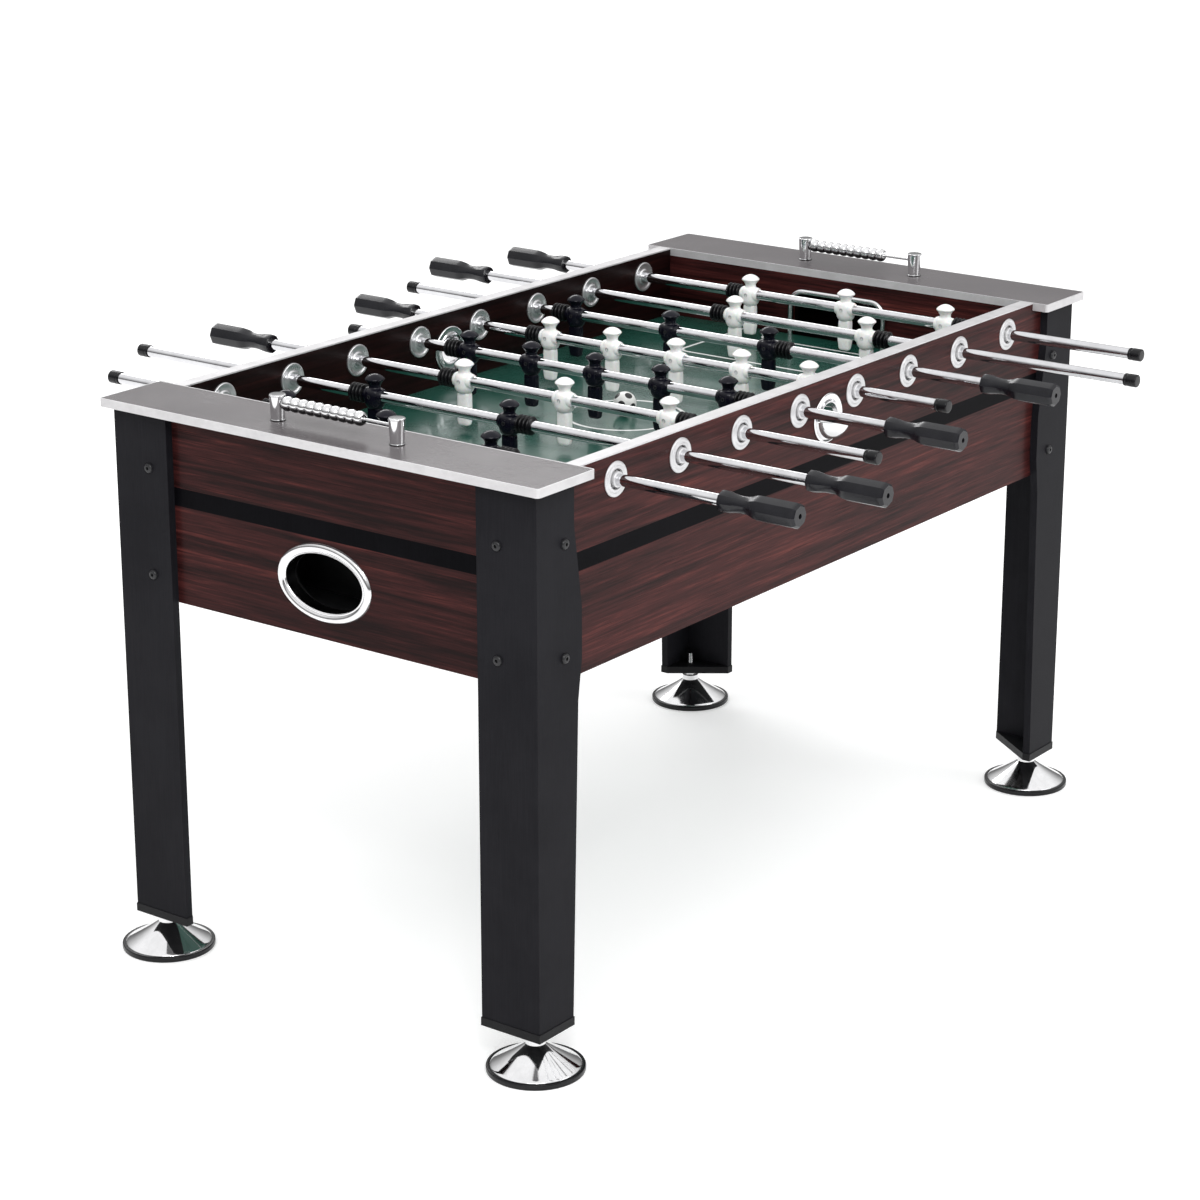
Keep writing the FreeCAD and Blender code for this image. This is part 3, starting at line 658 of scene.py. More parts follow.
@dataclass(frozen=True)
class Metal:
    """Plated or satin metal with smears, fine scratches and a little dust in the gloss.

    Where dim gives two heights in metres, the colour falls from the upper to the lower:
    painted shade under the beads, and a dark foot on the posts.
    """

    name: str
    colour: Colour
    gloss: float
    metallic: float = 1.0
    waviness: float = 0.00002
    brushed: Vec | None = None
    dim: tuple[float, float] | None = None

    def material(self) -> bpy.types.Material:
        """Even colour, a gloss that wanders, and a very slight surface wave.

        Returns:
            The material.
        """
        g = Graph(self.name)
        smear = g.noise(34.0, 4.0, 0.65)
        hair = g.noise(self.brushed or (1400.0, 1400.0, 220.0), 3.0, 0.6)
        colour = g.blend(smear.step(0.30, 0.70), tuple(0.88 * c for c in self.colour), self.colour)
        # dim: darker towards the bottom; on the beads this is painted shade on their undersides
        if self.dim:
            colour = g.blend(g.axes()[2].step(*self.dim), tuple(0.09 * c for c in self.colour), colour)
        g.varying(Base_Color=colour, Roughness=smear.step(0.35, 0.75) * 0.07 + hair * 0.04 + self.gloss)
        g.fixed(Metallic=self.metallic)
        g.bump(smear * 0.5 + hair * 0.5, 0.3, self.waviness)
        return g.material


@dataclass(frozen=True)
class Plastic:
    """Moulded plastic or rubber with a soft skin texture."""

    name: str
    colour: Colour
    gloss: float
    coat: float = 0.0
    texture: float = 0.00004
    cells: float = 700.0
    scatter: float = 0.0
    shine: float = 0.5

    def material(self) -> bpy.types.Material:
        """Faint tone change, handling marks in the gloss and a moulded skin.

        Returns:
            The material.
        """
        g = Graph(self.name)
        cloud = g.noise(38.0, 3.0, 0.6)
        skin = g.noise(self.cells, 3.0, 0.6)
        paler = tuple(min(1.0, 1.16 * c + 0.002) for c in self.colour)
        g.varying(Base_Color=g.blend(cloud.step(0.35, 0.70), self.colour, paler),
                  Roughness=cloud * 0.12 + skin * 0.05 + (self.gloss - 0.08))
        g.fixed(Coat_Weight=self.coat, Coat_Roughness=0.05, Specular_IOR_Level=self.shine,
                Subsurface_Weight=self.scatter, Subsurface_Scale=0.002)
        g.bump(skin, 0.35, self.texture)
        return g.material


@dataclass(frozen=True)
class Field:
    """Glossy printed field: deep green with white lines, sizes in metres."""

    name: str
    deep: Colour
    fresh: Colour
    line: Colour
    circle: float = 0.088
    stroke: float = 0.0034
    box_front: float = 0.381
    box_half: float = 0.174
    goal_front: float = 0.528
    goal_half: float = 0.118
    bend: float = 0.018
    spot: float = 0.004

    def frame_line(self, x: Signal, y: Signal, front: float, half: float) -> Signal:
        """Distance to three sides of a box that is open to the end wall.

        With r for the bend it is ||max(q, 0)| - r|, where q = (front + r - x, y - half + r).

        Args:
            x: distance from the field's middle along the table.
            y: distance from its middle line.
            front: where the box's front line runs.
            half: half of the box's width.

        Returns:
            The distance from the line.
        """
        along = (front + self.bend - x).most(0.0)
        across = (y - (half - self.bend)).most(0.0)
        return abs((along * along + across * across) ** 0.5 - self.bend)

    def material(self) -> bpy.types.Material:
        """Cloudy green under a clear coat, with all the markings from distances.

        Returns:
            The material.
        """
        g = Graph(self.name)
        x, y, _ = g.axes()
        ax, ay = abs(x), abs(y)
        reach = (x * x + y * y) ** 0.5
        ring = abs(reach - self.circle)
        box = self.frame_line(ax, ay, self.box_front, self.box_half)
        goal = self.frame_line(ax, ay, self.goal_front, self.goal_half)
        spot = (reach - self.spot).most(0.0)
        mark = reduce(Signal.least, (ring, box, goal, spot, ax)).step(self.stroke, 0.6 * self.stroke)
        cloud = g.noise(5.0, 4.0, 0.6)
        fibre = g.noise(900.0, 2.0, 0.5)
        green = g.blend((cloud * 0.7 + fibre * 0.3).step(0.35, 0.68), self.deep, self.fresh)
        g.varying(Base_Color=g.blend(mark, green, self.line), Roughness=cloud * 0.10 + fibre * 0.05 + 0.20)
        g.fixed(Coat_Weight=0.5, Coat_Roughness=0.08)
        g.bump(mark * 0.6 + fibre * 0.4, 0.2, 0.00005)
        return g.material


@dataclass(frozen=True)
class BallSkin:
    """White ball with twelve dark patches at the corners of an icosahedron.

    Six directions stand for the corners, since each has another opposite, and a
    patch reaches as far as the cosine given by patch.
    """

    name: str
    centre: Vec
    patch: float = 0.945
    edge: float = 0.006
    corners: tuple[Vec, ...] = (
        (0.177, 0.972, 0.152), (0.713, -0.636, 0.295), (0.495, 0.239, 0.835),
        (0.199, 0.550, -0.811), (0.946, 0.305, -0.112), (0.531, -0.443, -0.722),
    )

    def material(self) -> bpy.types.Material:
        """A patch shows where the direction from the centre is near a corner's.

        Returns:
            The material.
        """
        g = Graph(self.name)
        x, y, z = g.axes(self.centre)
        length = (x * x + y * y + z * z) ** 0.5
        best = reduce(Signal.most, (abs(x * a + y * b + z * c) / length for a, b, c in self.corners))
        mark = best.step(self.patch - self.edge, self.patch + self.edge)
        g.varying(Base_Color=g.blend(mark, (0.84, 0.84, 0.82), (0.015, 0.015, 0.016)),
                  Roughness=g.noise(120.0, 3.0) * 0.12 + 0.22)
        g.bump(mark, 0.4, 0.00015)
        return g.material


# The last two numbers of each laminate set where painted shade darkens the inner faces and the goal pocket,
# and by how much.
SIDE_LAMINATE = Laminate("mahogany_side", Grain.ALONG_X, 1, (0.3546, 0.3538), 0.82)
END_LAMINATE = Laminate("mahogany_end", Grain.ALONG_Y, 0, (0.6736, 0.6728), 0.97,
                        warm=(0.040, 0.0102, 0.0100), light=(0.100, 0.0240, 0.0205))
GOAL_LAMINATE = Laminate("mahogany_goal", Grain.ALONG_Y, 0, (0.5816, 0.5824), 0.97)
LEDGE = Board("ledge_grey", (0.106, 0.095, 0.100), (0.124, 0.112, 0.117), 0.24,
              coat=0.15, texture=0.00006, shine=0.45, grain=Grain.ALONG_Y)
LEG = Board("leg_black", (0.0085, 0.0083, 0.0105), (0.0135, 0.0133, 0.0160), 0.46,
            texture=0.00025, shine=0.055)
STRIPE = Board("stripe_black", (0.0022, 0.0021, 0.0028), (0.0040, 0.0038, 0.0050), 0.36,
               texture=0.0001, shine=0.02)
SILVER = Metal("silver_band", (0.62, 0.61, 0.62), 0.34, metallic=0.3)
CHROME = Metal("chrome", (0.82, 0.82, 0.83), 0.04)
STEEL = Metal("rod_steel", (0.70, 0.70, 0.72), 0.02, brushed=(1600.0, 60.0, 1600.0))
BEARING = Metal("bearing_silver", (0.68, 0.68, 0.69), 0.40, metallic=0.6)
DISHED = Metal("bearing_dished", (0.70, 0.70, 0.71), 0.25, metallic=0.8)
BOLT = Metal("bolt_black", (0.018, 0.018, 0.02), 0.32, metallic=0.3, waviness=0.00004)
MAN_BLACK = Plastic("man_black", (0.0035, 0.0035, 0.0080), 0.13, coat=0.25, shine=0.09)
MAN_WHITE = Plastic("man_white", (0.87, 0.87, 0.85), 0.26, coat=0.3, scatter=0.12)
GRIP = Plastic("grip_black", (0.006, 0.006, 0.0085), 0.22, texture=0.00004, shine=0.36)
RUBBER = Plastic("stop_rubber", (0.004, 0.004, 0.005), 0.25, texture=0.00008, cells=420.0, shine=0.28)
BOX = Plastic("box_black", (0.004, 0.004, 0.0045), 0.5, shine=0.15)
SHOE = Plastic("shoe_black", (0.006, 0.006, 0.007), 0.42, texture=0.0001, shine=0.15)
GREEN = Field("field_green", (0.010, 0.062, 0.045), (0.018, 0.092, 0.068), (0.90, 0.91, 0.90))


class Paintbox:
    """Makes each finish's material once."""

    def __init__(self) -> None:
        """Start with no materials."""
        self.made: dict[str, bpy.types.Material] = {}

    def material(self, finish: object) -> bpy.types.Material:
        """Material of a finish, made on first use.

        Args:
            finish: the finish.

        Returns:
            Its material.
        """
        if finish.name not in self.made:
            self.made[finish.name] = finish.material()
        return self.made[finish.name]


PAINTS = Paintbox()


# ---- pieces
def make_piece(name: str, surface: Surface, finish: object, body: str,
               replaces: tuple[str, ...] = (), crease: float = 32.0) -> None:
    """Put a surface into a mesh object, dress it and let it ride on a body.

    Args:
        name: the piece's name.
        surface: points and faces in place.
        finish: the finish it wears.
        body: the CAD body it moves with.
        replaces: CAD nodes that it stands for.
        crease: angle in degrees past which an edge stays sharp.
    """
    mesh = bpy.data.meshes.new(name)
    counts = (surface.faces >= 0).sum(axis=1)
    loops = surface.faces[surface.faces >= 0]
    mesh.vertices.add(len(surface.points))
    mesh.vertices.foreach_set("co", surface.points.astype(np.float32).ravel())
    mesh.loops.add(len(loops))
    mesh.loops.foreach_set("vertex_index", loops.astype(np.int32))
    mesh.polygons.add(len(counts))
    mesh.polygons.foreach_set("loop_start", np.r_[0, np.cumsum(counts)[:-1]].astype(np.int32))
    mesh.polygons.foreach_set("use_smooth", np.ones(len(counts), bool))
    mesh.update(calc_edges=True)
    mesh.validate()
    mesh.set_sharp_from_angle(angle=math.radians(crease))
    mesh.materials.append(PAINTS.material(finish))
    piece = bpy.data.objects.new(name, mesh)
    bpy.context.scene.collection.objects.link(piece)
    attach(piece, body)
    if replaces:
        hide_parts(*replaces)
    LOG.info("%s: %d points, %d faces, on %s", name, len(surface.points), len(counts), body)


def dress(frame: dict, finish: object, *nodes: str) -> None:
    """Give CAD nodes a finish.

    Args:
        finish: the finish to wear.
        nodes: names of the nodes.
    """
    for name in nodes:
        data = frame["nodes"][name].data
        data.materials.clear()
        data.materials.append(PAINTS.material(finish))
        LOG.info("%s wears %s", name, finish.name)


# ---- cabinet
@dataclass
class Cabinet:
    """Panels, field, ledges and legs: CAD boards in their finishes."""

    frame: dict
    rods: int = 8

    def build(self) -> None:
        """Dress every board and the rods' tubes."""
        for finish, nodes in (
            (SIDE_LAMINATE, ("side_panel_front", "side_panel_back")),
            (END_LAMINATE, ("end_panel_near", "end_panel_far")),
            (GOAL_LAMINATE, ("goal_walls",)),
            (GREEN, ("playfield",)),
            (LEDGE, ("end_ledges",)),
            (SILVER, ("silver_trims",)),
            (STRIPE, ("accent_stripes",)),
            (LEG, ["leg_" + corner for corner in CORNERS]),
            (SHOE, ("leg_shoes",)),
            (BOX, ("return_boxes",)),
            (STEEL, ["rod%d_tube" % number for number in range(1, self.rods + 1)]),
        ):
            dress(self.frame, finish, *nodes)


@dataclass
class Bolts:
    """Button-head bolts with hex sockets in the legs."""

    head: float = 7.0 * MM
    crown: float = 4.4 * MM
    socket: float = 2.6 * MM
    depth: float = 2.6 * MM
    inset: float = 57.0 * MM
    back: float = 6.0 * MM
    drops: tuple[float, float] = (90.0 * MM, 243.0 * MM)
    sides: int = 48

    def head_surface(self) -> Surface:
        """Domed head about Z: a hex socket that opens to a rounded button.

        Going outwards, the dome's radius is head (1 + sin u) / 2 and its height
        crown cos(u)^0.7, with u up to a quarter turn.

        Returns:
            The closed head.
        """
        angle = around(self.sides)
        hexagon = polygon_radius(angle, 6, 0.0) * self.socket
        dome = np.linspace(0.0, 1.0, 7)
        rise = self.crown * np.cos(dome * math.pi / 2) ** 0.7
        reach = 0.5 * self.head + 0.5 * self.head * np.sin(dome * math.pi / 2)
        outer = np.r_[reach, self.head * 0.6, 0.0][:, None] * np.ones(self.sides)
        radii = np.vstack([0 * hexagon, hexagon, hexagon, 1.12 * hexagon, outer])
        floor = self.crown - self.depth
        heights = np.r_[floor, floor, self.crown - 0.3 * MM, self.crown, rise, -2 * MM, -2 * MM]
        return Surface.from_grid(rings(angle, radii, heights))

    def build(self) -> None:
        """Two bolts in each face of each leg, heads outward."""
        head = self.head_surface()
        edge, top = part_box("leg_far_back")[1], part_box("end_ledges")[1].z
        parts = []
        for drop, sx, sy in product(self.drops, (-1, 1), (-1, 1)):
            side = head.laid(AGAINST_Y if sy < 0 else ALONG_Y)
            end = head.laid(AGAINST_X if sx < 0 else ALONG_X)
            parts.append(side.moved(sx * (edge.x - self.inset), sy * edge.y, top - drop))
            parts.append(end.moved(sx * edge.x, sy * (edge.y - self.inset - self.back), top - drop))
        make_piece("bolt_heads", joined(parts), BOLT, "cabinet", ("leg_bolts",))


@dataclass
class Levelers:
    """Screw feet: rubber ring, chrome cone, hex lock nut and stem."""

    ring: float = 67.0 * MM
    rim: float = 8.0 * MM
    neck: float = 14.0 * MM
    stem: float = 6.0 * MM
    stem_top: float = 86.0 * MM
    thread_pitch: float = 1.75 * MM

    def cone(self) -> Surface:
        """Flared cone and threaded stem.

        With h the share of the height, the cone's radius is neck + span (1 - h)^1.12,
        and the thread's radius rises and falls evenly once for each pitch.

        Returns:
            The turned foot about Z, its sole at height 0.
        """
        seat = self.ring - 5.0 * MM
        height = np.linspace(0.0, 1.0, 22)
        flare = self.neck + (seat - 1.5 * MM - self.neck) * (1 - height) ** 1.12
        rise = self.rim + 1.2 * MM + (38.0 * MM - self.rim) * height
        low = rounded([(0, self.rim / 2), (seat - 5.0 * MM, self.rim / 2), (seat, self.rim),
                       (seat - 1.5 * MM, self.rim + 1.2 * MM)], 0.8 * MM)
        high = rounded([(self.neck, 46.0 * MM), (self.neck, 47.5 * MM), (self.stem, 47.5 * MM),
                        (self.stem, 68.5 * MM)], 0.6 * MM)
        turns = np.arange(0.0, (self.stem_top - 70.5 * MM) / self.thread_pitch, 0.25)
        crest = np.abs(np.mod(turns, 1.0) - 0.5) * 2.0
        thread = np.column_stack([self.stem - 0.9 * MM * (1 - crest), 69.0 * MM + turns * self.thread_pitch])
        end = rounded([(self.stem - 0.9 * MM, self.stem_top - 1.2 * MM),
                       (self.stem - 1.8 * MM, self.stem_top), (0, self.stem_top)], 0.3 * MM)
        return turned(np.vstack([low, np.column_stack([flare, rise]), high, thread, end]), 72)

    def nut(self) -> Surface:
        """Hex nut under the foot plate, its corners eased.

        Returns:
            The nut about the stem.
        """
        angle = around(60)
        outline = polygon_radius(angle, 6, 0.06) * 11.5 * MM
        scale = np.array([0.4, 0.93, 1.0, 1.0, 0.93, 0.4])[:, None]
        height = np.array([47.5, 47.5, 48.2, 54.0, 54.8, 54.8])[:, None] * MM
        return Surface.from_grid(rings(angle, scale * outline, height), wrap_rows=True)

    def pad(self) -> Surface:
        """Rubber ring with a rounded outer wall.

        Returns:
            The ring about Z, its sole at height 0.
        """
        profile = rounded([(self.ring - 10 * MM, 0), (self.ring, 0), (self.ring, self.rim),
                           (self.ring - 5.2 * MM, self.rim + 0.3 * MM),
                           (self.ring - 10.2 * MM, self.rim / 2)], 2.0 * MM, 5, closed=True)
        return turned(profile, 72, closed=True)

    def build(self) -> None:
        """One foot under each leg."""
        foot = joined([self.cone(), self.nut()])
        for corner in CORNERS:
            node = "leveler_" + corner
            x, y, _ = middle(node)
            make_piece(node + "_cone", foot.moved(x, y), CHROME, node, (node,))
            make_piece(node + "_pad", self.pad().moved(x, y), RUBBER, node)


# ---- rods
@dataclass
class Figure:
    """A player: cap, head, barrel chest with arm stubs, waist, leg and boot."""

    hub: float = 11.5 * MM
    half_width: float = 16.0 * MM
    body_knots: tuple = (
        (-18.5, 8.2, 9.6), (-17.4, 9.6, 11.0), (-14.0, 12.2, 13.6), (-9.0, 13.9, 15.3), (-3.0, 14.4, 15.8),
        (2.0, 14.1, 15.7), (6.5, 13.0, 14.7), (9.3, 11.2, 12.4), (11.2, 9.0, 9.6), (13.0, 8.2, 8.6),
        (15.2, 8.3, 8.6), (18.3, 9.9, 10.0), (21.4, 12.2, 12.2), (23.0, 13.8, 13.8), (23.8, 14.2, 14.2),
        (24.6, 14.0, 14.0), (26.2, 12.8, 12.8), (28.3, 10.4, 10.4), (30.2, 7.2, 7.2), (31.4, 3.9, 3.9),
        (31.9, 1.8, 1.8), (32.0, 0.0, 0.0),
    )
    leg_knots: tuple = (
        (-66.0, 5.2, 8.0), (-65.2, 6.0, 8.9), (-58.0, 7.0, 10.1), (-50.0, 7.7, 11.0), (-47.5, 7.7, 11.0),
        (-44.5, 7.4, 10.7), (-34.0, 7.2, 10.5), (-24.0, 7.3, 10.4), (-20.0, 7.1, 10.1), (-17.0, 6.4, 9.2),
    )

    def stack(self, knots: tuple, rows: int, power: float, columns: int = 40) -> Surface:
        """Stack of rounded sections: |x/a|^n + |y/b|^n = 1 with a and b from the knots.

        Args:
            knots: height, half depth and half width in millimetres.
            rows: sections to sample.
            power: n, 2 for an ellipse and more for a squarer section.
            columns: points round each section.

        Returns:
            The closed surface.
        """
        curve = smooth_line(list(knots), rows) * MM
        angle = around(columns) + math.pi / columns
        reach = (np.abs(np.cos(angle)) ** power + np.abs(np.sin(angle)) ** power) ** (-1 / power)
        grid = rings(angle, curve[:, 1:2] * reach, curve[:, :1], curve[:, 2:3] * reach)
        caps = [np.broadcast_to(grid[k].mean(axis=0), grid[:1].shape) for k in (0, -1)]
        return Surface.from_grid(np.concatenate([caps[0], grid, caps[1]]))

    def surface(self) -> Surface:
        """The whole figure about the rod axis.

        Returns:
            Body, leg and arm stubs.
        """
        end, ease, shoulder = self.half_width, self.hub - 1.5 * MM, self.half_width - 4 * MM
        arms = rounded([(BORE, -end), (ease, -end), (self.hub, -shoulder), (self.hub, shoulder),
                        (ease, end), (BORE, end)], 1.5 * MM)
        return joined([self.stack(self.body_knots, 100, 2.0), self.stack(self.leg_knots, 34, 4.5, 32),
                       turned(arms, 36, closed=True).laid(ALONG_Y)])

    def pin(self) -> Surface:
        """Screw in a shallow ring on the chest, facing -X."""
        profile = rounded([(0, -1.0), (3.1, -1.0), (3.1, 0.25), (2.3, 0.25), (2.2, -0.1), (0.9, 0.0),
                           (0.8, -0.3), (0, -0.3)], 0.15) * MM
        return turned(profile, 24).laid(AGAINST_X).moved(-14.35 * MM)


@dataclass
class Grip:
    """Eight-sided grip with a flared collar, a waist and a hole in its end."""

    length: float = 118.0 * MM
    knots: tuple = (
        (0.0, 13.4), (2.0, 14.7), (6.5, 14.9), (13.0, 14.2), (22.0, 12.6), (31.0, 11.8), (38.0, 11.9),
        (45.0, 12.9), (51.0, 14.9), (56.0, 16.3), (61.0, 16.9), (85.0, 17.0), (112.0, 17.0),
        (114.5, 16.7), (118.0, 13.6),
    )
    softness: tuple = ((0, 0.35), (10, 0.3), (34, 0.75), (57, 0.12), (118, 0.08))
    flats: int = 8
    sides: int = 64
    socket: float = 40.0 * MM
    hole: float = 7.0 * MM

    def surface(self) -> Surface:
        """Grip from its open end at the origin along +Z.

        The radius is the knots' curve times an octagon's, which is blended with a
        circle's by a share that is largest at the waist.

        Returns:
            The closed grip with a socket for the rod and a hole in the far end.
        """
        curve = smooth_line(list(self.knots), 72) * MM
        angle = around(self.sides)
        stations, shares = zip(*self.softness)
        soft = np.interp(curve[:, 0], np.array(stations) * MM, shares)[:, None]
        factor = polygon_radius(angle, self.flats, 0.0)[None, :] * (1 - soft) + soft * 0.975
        even = np.ones(self.sides)
        inside = np.array([0.0, BORE, BORE])[:, None] * even
        end = np.array([3.6, 3.2, 3.2, 0.0])[:, None] * MM * even
        bottom = self.length - self.hole
        radii = np.vstack([inside, curve[:, 1:2] * factor, end])
        heights = np.r_[self.socket, self.socket, 0.0, curve[:, 0],
                        self.length, self.length - 0.4 * MM, bottom, bottom]
        return Surface.from_grid(rings(angle, radii, heights))


@dataclass
class Rod:
    """One rod's figures, screws, grip, stops and tip around the CAD tube."""

    frame: dict
    number: int
    men: int
    dark: bool
    stop_length: float = 26.0 * MM
    ribs: int = 4
    tip_length: float = 20.0 * MM

    def axis(self) -> tuple[float, float]:
        """X and Z of the rod's axis, from its turning joint."""
        x, _, z = next(j["pos_m"] for j in self.frame["joints"] if j["name"] == "rod%d_turn" % self.number)
        return x, z

    def stop(self) -> Surface:
        """Rubber stop with rounded ribs, along +Z.

        With w going from 0 to 1 and back on each rib, the radius is 8.9 + 4.6 w^0.45 mm.

        Returns:
            The closed stop.
        """
        turns = np.linspace(0.0, float(self.ribs), 24 * self.ribs + 1)
        wave = 0.5 - 0.5 * np.cos(math.tau * turns)
        outer = np.column_stack([(8.9 + 4.6 * wave ** 0.45) * MM, turns * self.stop_length / self.ribs])
        profile = np.vstack([[(BORE, 0.0)], outer, [(BORE, self.stop_length)]])
        return turned(profile, 40, closed=True)

    def tip(self) -> Surface:
        """Rubber tip, closed and rounded at its outer end, along +Z.

        Returns:
            The tip, its open end at the origin.
        """
        end = self.tip_length / MM
        profile = rounded([(0, 8), (8.1, 8), (8.1, 0), (9.2, 0), (9.4, 3), (8.9, 3.6), (8.9, 5.4), (9.4, 6),
                           (9.4, end - 1), (8.2, end), (0, end)], 0.9) * MM
        return turned(profile, 40)

    def build(self) -> None:
        """Figures, screws, grip, stops and tip."""
        x, z = self.axis()
        node, body = "rod%d_" % self.number, "rod%d_spinner" % self.number
        figure = Figure()
        low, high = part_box(node + "men")
        places = np.linspace(low.y + figure.half_width, high.y - figure.half_width, self.men)
        shape, pin = figure.surface(), figure.pin()
        finish, slot = (MAN_BLACK, "men_black") if self.dark else (MAN_WHITE, "men_white")
        make_piece(node + "figures", joined([shape.moved(x, y, z) for y in places]), finish, body,
                   (node + "men",), 50.0)
        metal, metal_slot = (BOLT, "bolt_black") if self.dark else (BEARING, "bearing_metal")
        make_piece(node + "pins", joined([pin.moved(x, y, z) for y in places]), metal, body)
        grip_low, grip_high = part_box(node + "grip")
        stops_low, stops_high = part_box(node + "stops")
        if grip_low.y + grip_high.y < 0:
            hand, grip_start = AGAINST_Y, grip_high.y
            away, tip_start = ALONG_Y, stops_high.y - self.tip_length
        else:
            hand, grip_start = ALONG_Y, grip_low.y
            away, tip_start = AGAINST_Y, stops_low.y + self.tip_length
        make_piece(node + "handle", Grip().surface().laid(hand).moved(x, grip_start, z), GRIP,
                   body, (node + "grip",), 24.0)
        pieces = [self.stop().laid(ALONG_Y).moved(x, places[-1] + figure.half_width, z),
                  self.stop().laid(AGAINST_Y).moved(x, places[0] - figure.half_width, z),
                  self.tip().laid(away).moved(x, tip_start, z)]
        make_piece(node + "rubbers", joined(pieces), RUBBER, body, (node + "stops",), 40.0)


@dataclass
class Bearings:
    """Outer flanged bushes and inner dished rings at every rod."""

    frame: dict

    def outer(self) -> Surface:
        """Domed flange with a groove round its hub; the wall's face is height 0, outward +Z.

        Returns:
            The bush, with its sleeve in the wall.
        """
        profile = rounded([(8.05, -22.0), (13.0, -22.0), (13.0, 0.0), (24.0, 0.0), (24.0, 1.3), (22.4, 2.6),
                           (18.8, 2.5), (18.0, 1.7), (17.2, 2.4), (14.2, 2.8), (12.5, -4.0), (10.9, -4.0),
                           (10.7, 5.2), (9.8, 6.0), (8.05, 6.0)],
                          [0, 0, 0, 0.3, 0.9, 1.0, 0.5, 0.4, 0.5, 0.7, 0.3, 0.3, 1.0, 0.5, 0.1], closed=True)
        return turned(profile * MM, 64, closed=True)

    def inner(self) -> Surface:
        """Dished ring: a raised rim, a hollow and a hub; the wall's face is height 0.

        Returns:
            The ring about Z.
        """
        profile = rounded([(8.05, 0.0), (24.0, 0.0), (24.0, 2.2), (22.6, 3.0), (20.5, 2.7), (17.0, 1.3),
                           (12.6, 1.3), (11.4, 2.9), (8.05, 3.0)],
                          [0, 0, 0.9, 0.8, 1.0, 2.0, 1.0, 0.6, 0.2], closed=True)
        return turned(profile * MM, 64, closed=True)

    def build(self) -> None:
        """Two bearings for each rod."""
        low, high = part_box("side_panel_back")
        face, inside = high.y, low.y
        outer, inner = self.outer(), self.inner()
        parts, rings = [], []
        for joint in self.frame["joints"]:
            if joint["name"].endswith("_turn"):
                x, _, z = joint["pos_m"]
                parts.append(outer.laid(ALONG_Y).moved(x, face, z))
                parts.append(outer.laid(AGAINST_Y).moved(x, -face, z))
                rings.append(inner.laid(AGAINST_Y).moved(x, inside, z))
                rings.append(inner.laid(ALONG_Y).moved(x, -inside, z))
        make_piece("bearing_set", joined(parts), BEARING, "cabinet", ("rod_bearings",), 38.0)
        make_piece("bearing_rings", joined(rings), DISHED, "cabinet", (), 38.0)


